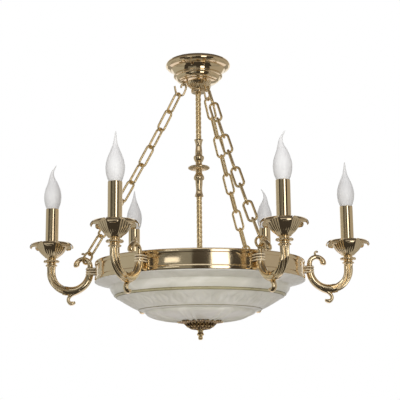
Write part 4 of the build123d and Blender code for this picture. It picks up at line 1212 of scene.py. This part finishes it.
# Each panel: azimuths from and to, heights from and to, colour and strength
PANELS = (
    ((56, 145), LOW_WALL, WARM, 0.44),
    ((-145, -66), LOW_WALL, OLIVE, 0.45),
    ((-66, -46), LOW_WALL, BROWN, 0.05),
    ((-46, -36), LOW_WALL, OLIVE, 0.20),
    ((-36, -21), (-1.5, -0.4), OLIVE, 0.15),
    ((-36, -21), (-0.4, 0.04), WHITE, 1.4),
    ((-36, -21), (0.04, 0.7), OLIVE, 0.15),
    ((-21, -8), LOW_WALL, OLIVE, 0.26),
    ((-8, 12), LOW_WALL, BROWN, 0.07),
    ((12, 30), (-1.5, 0.5), WHITE, 2.6),
    ((12, 30), (0.5, 0.7), BROWN, 0.06),
    ((30, 56), LOW_WALL, BROWN, 0.06),
    (ALL_WALLS, (0.7, 1.0), BROWN, 0.30),
    ((-145, -40), HIGH_WALL, BROWN, 0.30),
    ((-40, 40), HIGH_WALL, WHITE, 1.0),
    ((40, 145), HIGH_WALL, BROWN, 0.30),
    (ALL_WALLS, (1.7, 2.4), BROWN, 0.30),
)

# Each disc: azimuths from and to, height, colour and strength
DISCS = {
    "rug": ((-68, 68), RUG_Z, BROWN, 0.05),
    "sweep": ((145, 215), RUG_Z, SWEEP, 0.95),
    "ceiling": ((70, 290), CEILING_Z, BROWN, 0.12),
    "top_light": ((-70, 70), CEILING_Z, BROWN, 0.12),
}


def emission(name, colour, strength):
    """Plain glow of a studio panel or disc."""
    material, nodes, links, shader = new_material(name)
    nodes.remove(shader)
    glow = nodes.new("ShaderNodeEmission")
    set_inputs(glow, {"Color": (*colour, 1), "Strength": strength})
    links.new(glow.outputs["Emission"], nodes["Material Output"].inputs["Surface"])
    return material


def hide_from_view(panel):
    """Leave a studio piece to mirrors alone."""
    panel.visible_camera = False
    panel.visible_diffuse = False
    panel.visible_shadow = False
    panel.visible_transmission = False


def studio_arc(azimuths, steps, height):
    """Points round the object; azimuth 0 is towards the camera and grows to the right."""
    turn = np.radians(np.linspace(*azimuths, steps + 1))
    return [(PANEL_RADIUS * sin(t), -PANEL_RADIUS * cos(t), height) for t in turn]


def studio_panel(name, azimuths, heights, look):
    """Upright curved panel."""
    points = [point for height in heights for point in studio_arc(azimuths, PANEL_STEPS, height)]
    faces = [(i, i + 1, i + PANEL_STEPS + 2, i + PANEL_STEPS + 1) for i in range(PANEL_STEPS)]
    hide_from_view(mesh_object(name, points, faces, look))


def studio_disc(name, azimuths, height, look):
    """Level sector, out to the panels."""
    points = [(0, 0, height), *studio_arc(azimuths, DISC_STEPS, height)]
    hide_from_view(mesh_object(name, points, [tuple(range(len(points)))], look))


for i, (azimuths, heights, *glow) in enumerate(PANELS):
    studio_panel(f"studio_panel_{i}", azimuths, heights, emission(f"studio_panel_{i}", *glow))
floor_look, _, _, floor_shader = new_material("pale_floor")
set_inputs(floor_shader, {"Base Color": (*FLOOR_COLOUR, 1), "Roughness": FLOOR_ROUGHNESS})
floor_rim = [(FLOOR_RADIUS * cos(t), FLOOR_RADIUS * sin(t), FLOOR_Z) for t in around(FLOOR_SIDES)]
floor = mesh_object("floor", floor_rim, [tuple(range(FLOOR_SIDES))], floor_look)
for name, (azimuths, height, *glow) in DISCS.items():
    studio_disc(name, azimuths, height, emission(f"studio_{name}", *glow))

# World: white to the camera, to mirrors and through glass, and a soft even light on the object
AMBIENT = 0.42
world = bpy.data.worlds.new("studio")
bpy.context.scene.world = world
world.use_nodes = True
nodes, links = world.node_tree.nodes, world.node_tree.links
background = nodes["Background"]
ray = nodes.new("ShaderNodeLightPath")
seen = ray.outputs["Is Camera Ray"]
for kind in ("Is Glossy Ray", "Is Transmission Ray"):
    either = nodes.new("ShaderNodeMath")
    either.operation = "MAXIMUM"
    links.new(seen, either.inputs[0])
    links.new(ray.outputs[kind], either.inputs[1])
    seen = either.outputs["Value"]
strength = nodes.new("ShaderNodeMapRange")
set_inputs(strength, {"To Min": AMBIENT, "To Max": 1.0})
links.new(seen, strength.inputs["Value"])
set_inputs(background, {"Color": (1, 1, 1, 1)})
links.new(strength.outputs["Result"], background.inputs["Strength"])


def area_light(name, place, aim, size, power):
    """Soft lamp that doesn't show in mirrors."""
    data = bpy.data.lights.new(name, "AREA")
    data.shape = "RECTANGLE"
    data.size, data.size_y = size
    data.energy = power
    lamp = bpy.data.objects.new(name, data)
    lamp.location = place
    lamp.rotation_euler = (Vector(aim) - Vector(place)).to_track_quat("-Z", "Y").to_euler()
    lamp.visible_glossy = False
    bpy.context.scene.collection.objects.link(lamp)


# Lamps: place and aim in metres, size, and power in watts
area_light("key", (0.4, -2.2, 0.0), (0, 0, -0.45), (1.4, 1.2), 27.0)
area_light("fill", (-1.3, -1.8, 0.0), (0, 0, -0.45), (1.2, 1.2), 10.0)
area_light("back", (-0.3, 2.4, 0.3), (0, 0, -0.4), (1.6, 1.2), 12.0)

# Camera at the photograph's viewing angle
camera_data = bpy.data.cameras.new("camera")
camera_data.lens = CAMERA_LENS
camera_data.clip_end = CAMERA_REACH
camera = bpy.data.objects.new("camera", camera_data)
bpy.context.scene.collection.objects.link(camera)
aim = (
    Matrix.Rotation(radians(CAMERA_YAW), 4, "Z")
    @ Matrix.Rotation(radians(CAMERA_PITCH), 4, "X")
    @ Matrix.Rotation(radians(CAMERA_ROLL), 4, "Y")
    @ Matrix.Rotation(radians(90), 4, "X")
)
camera.matrix_world = Matrix.Translation(Vector(CAMERA_PLACE) * MM) @ aim
bpy.context.scene.camera = camera
bpy.context.scene.view_settings.view_transform = "Standard"
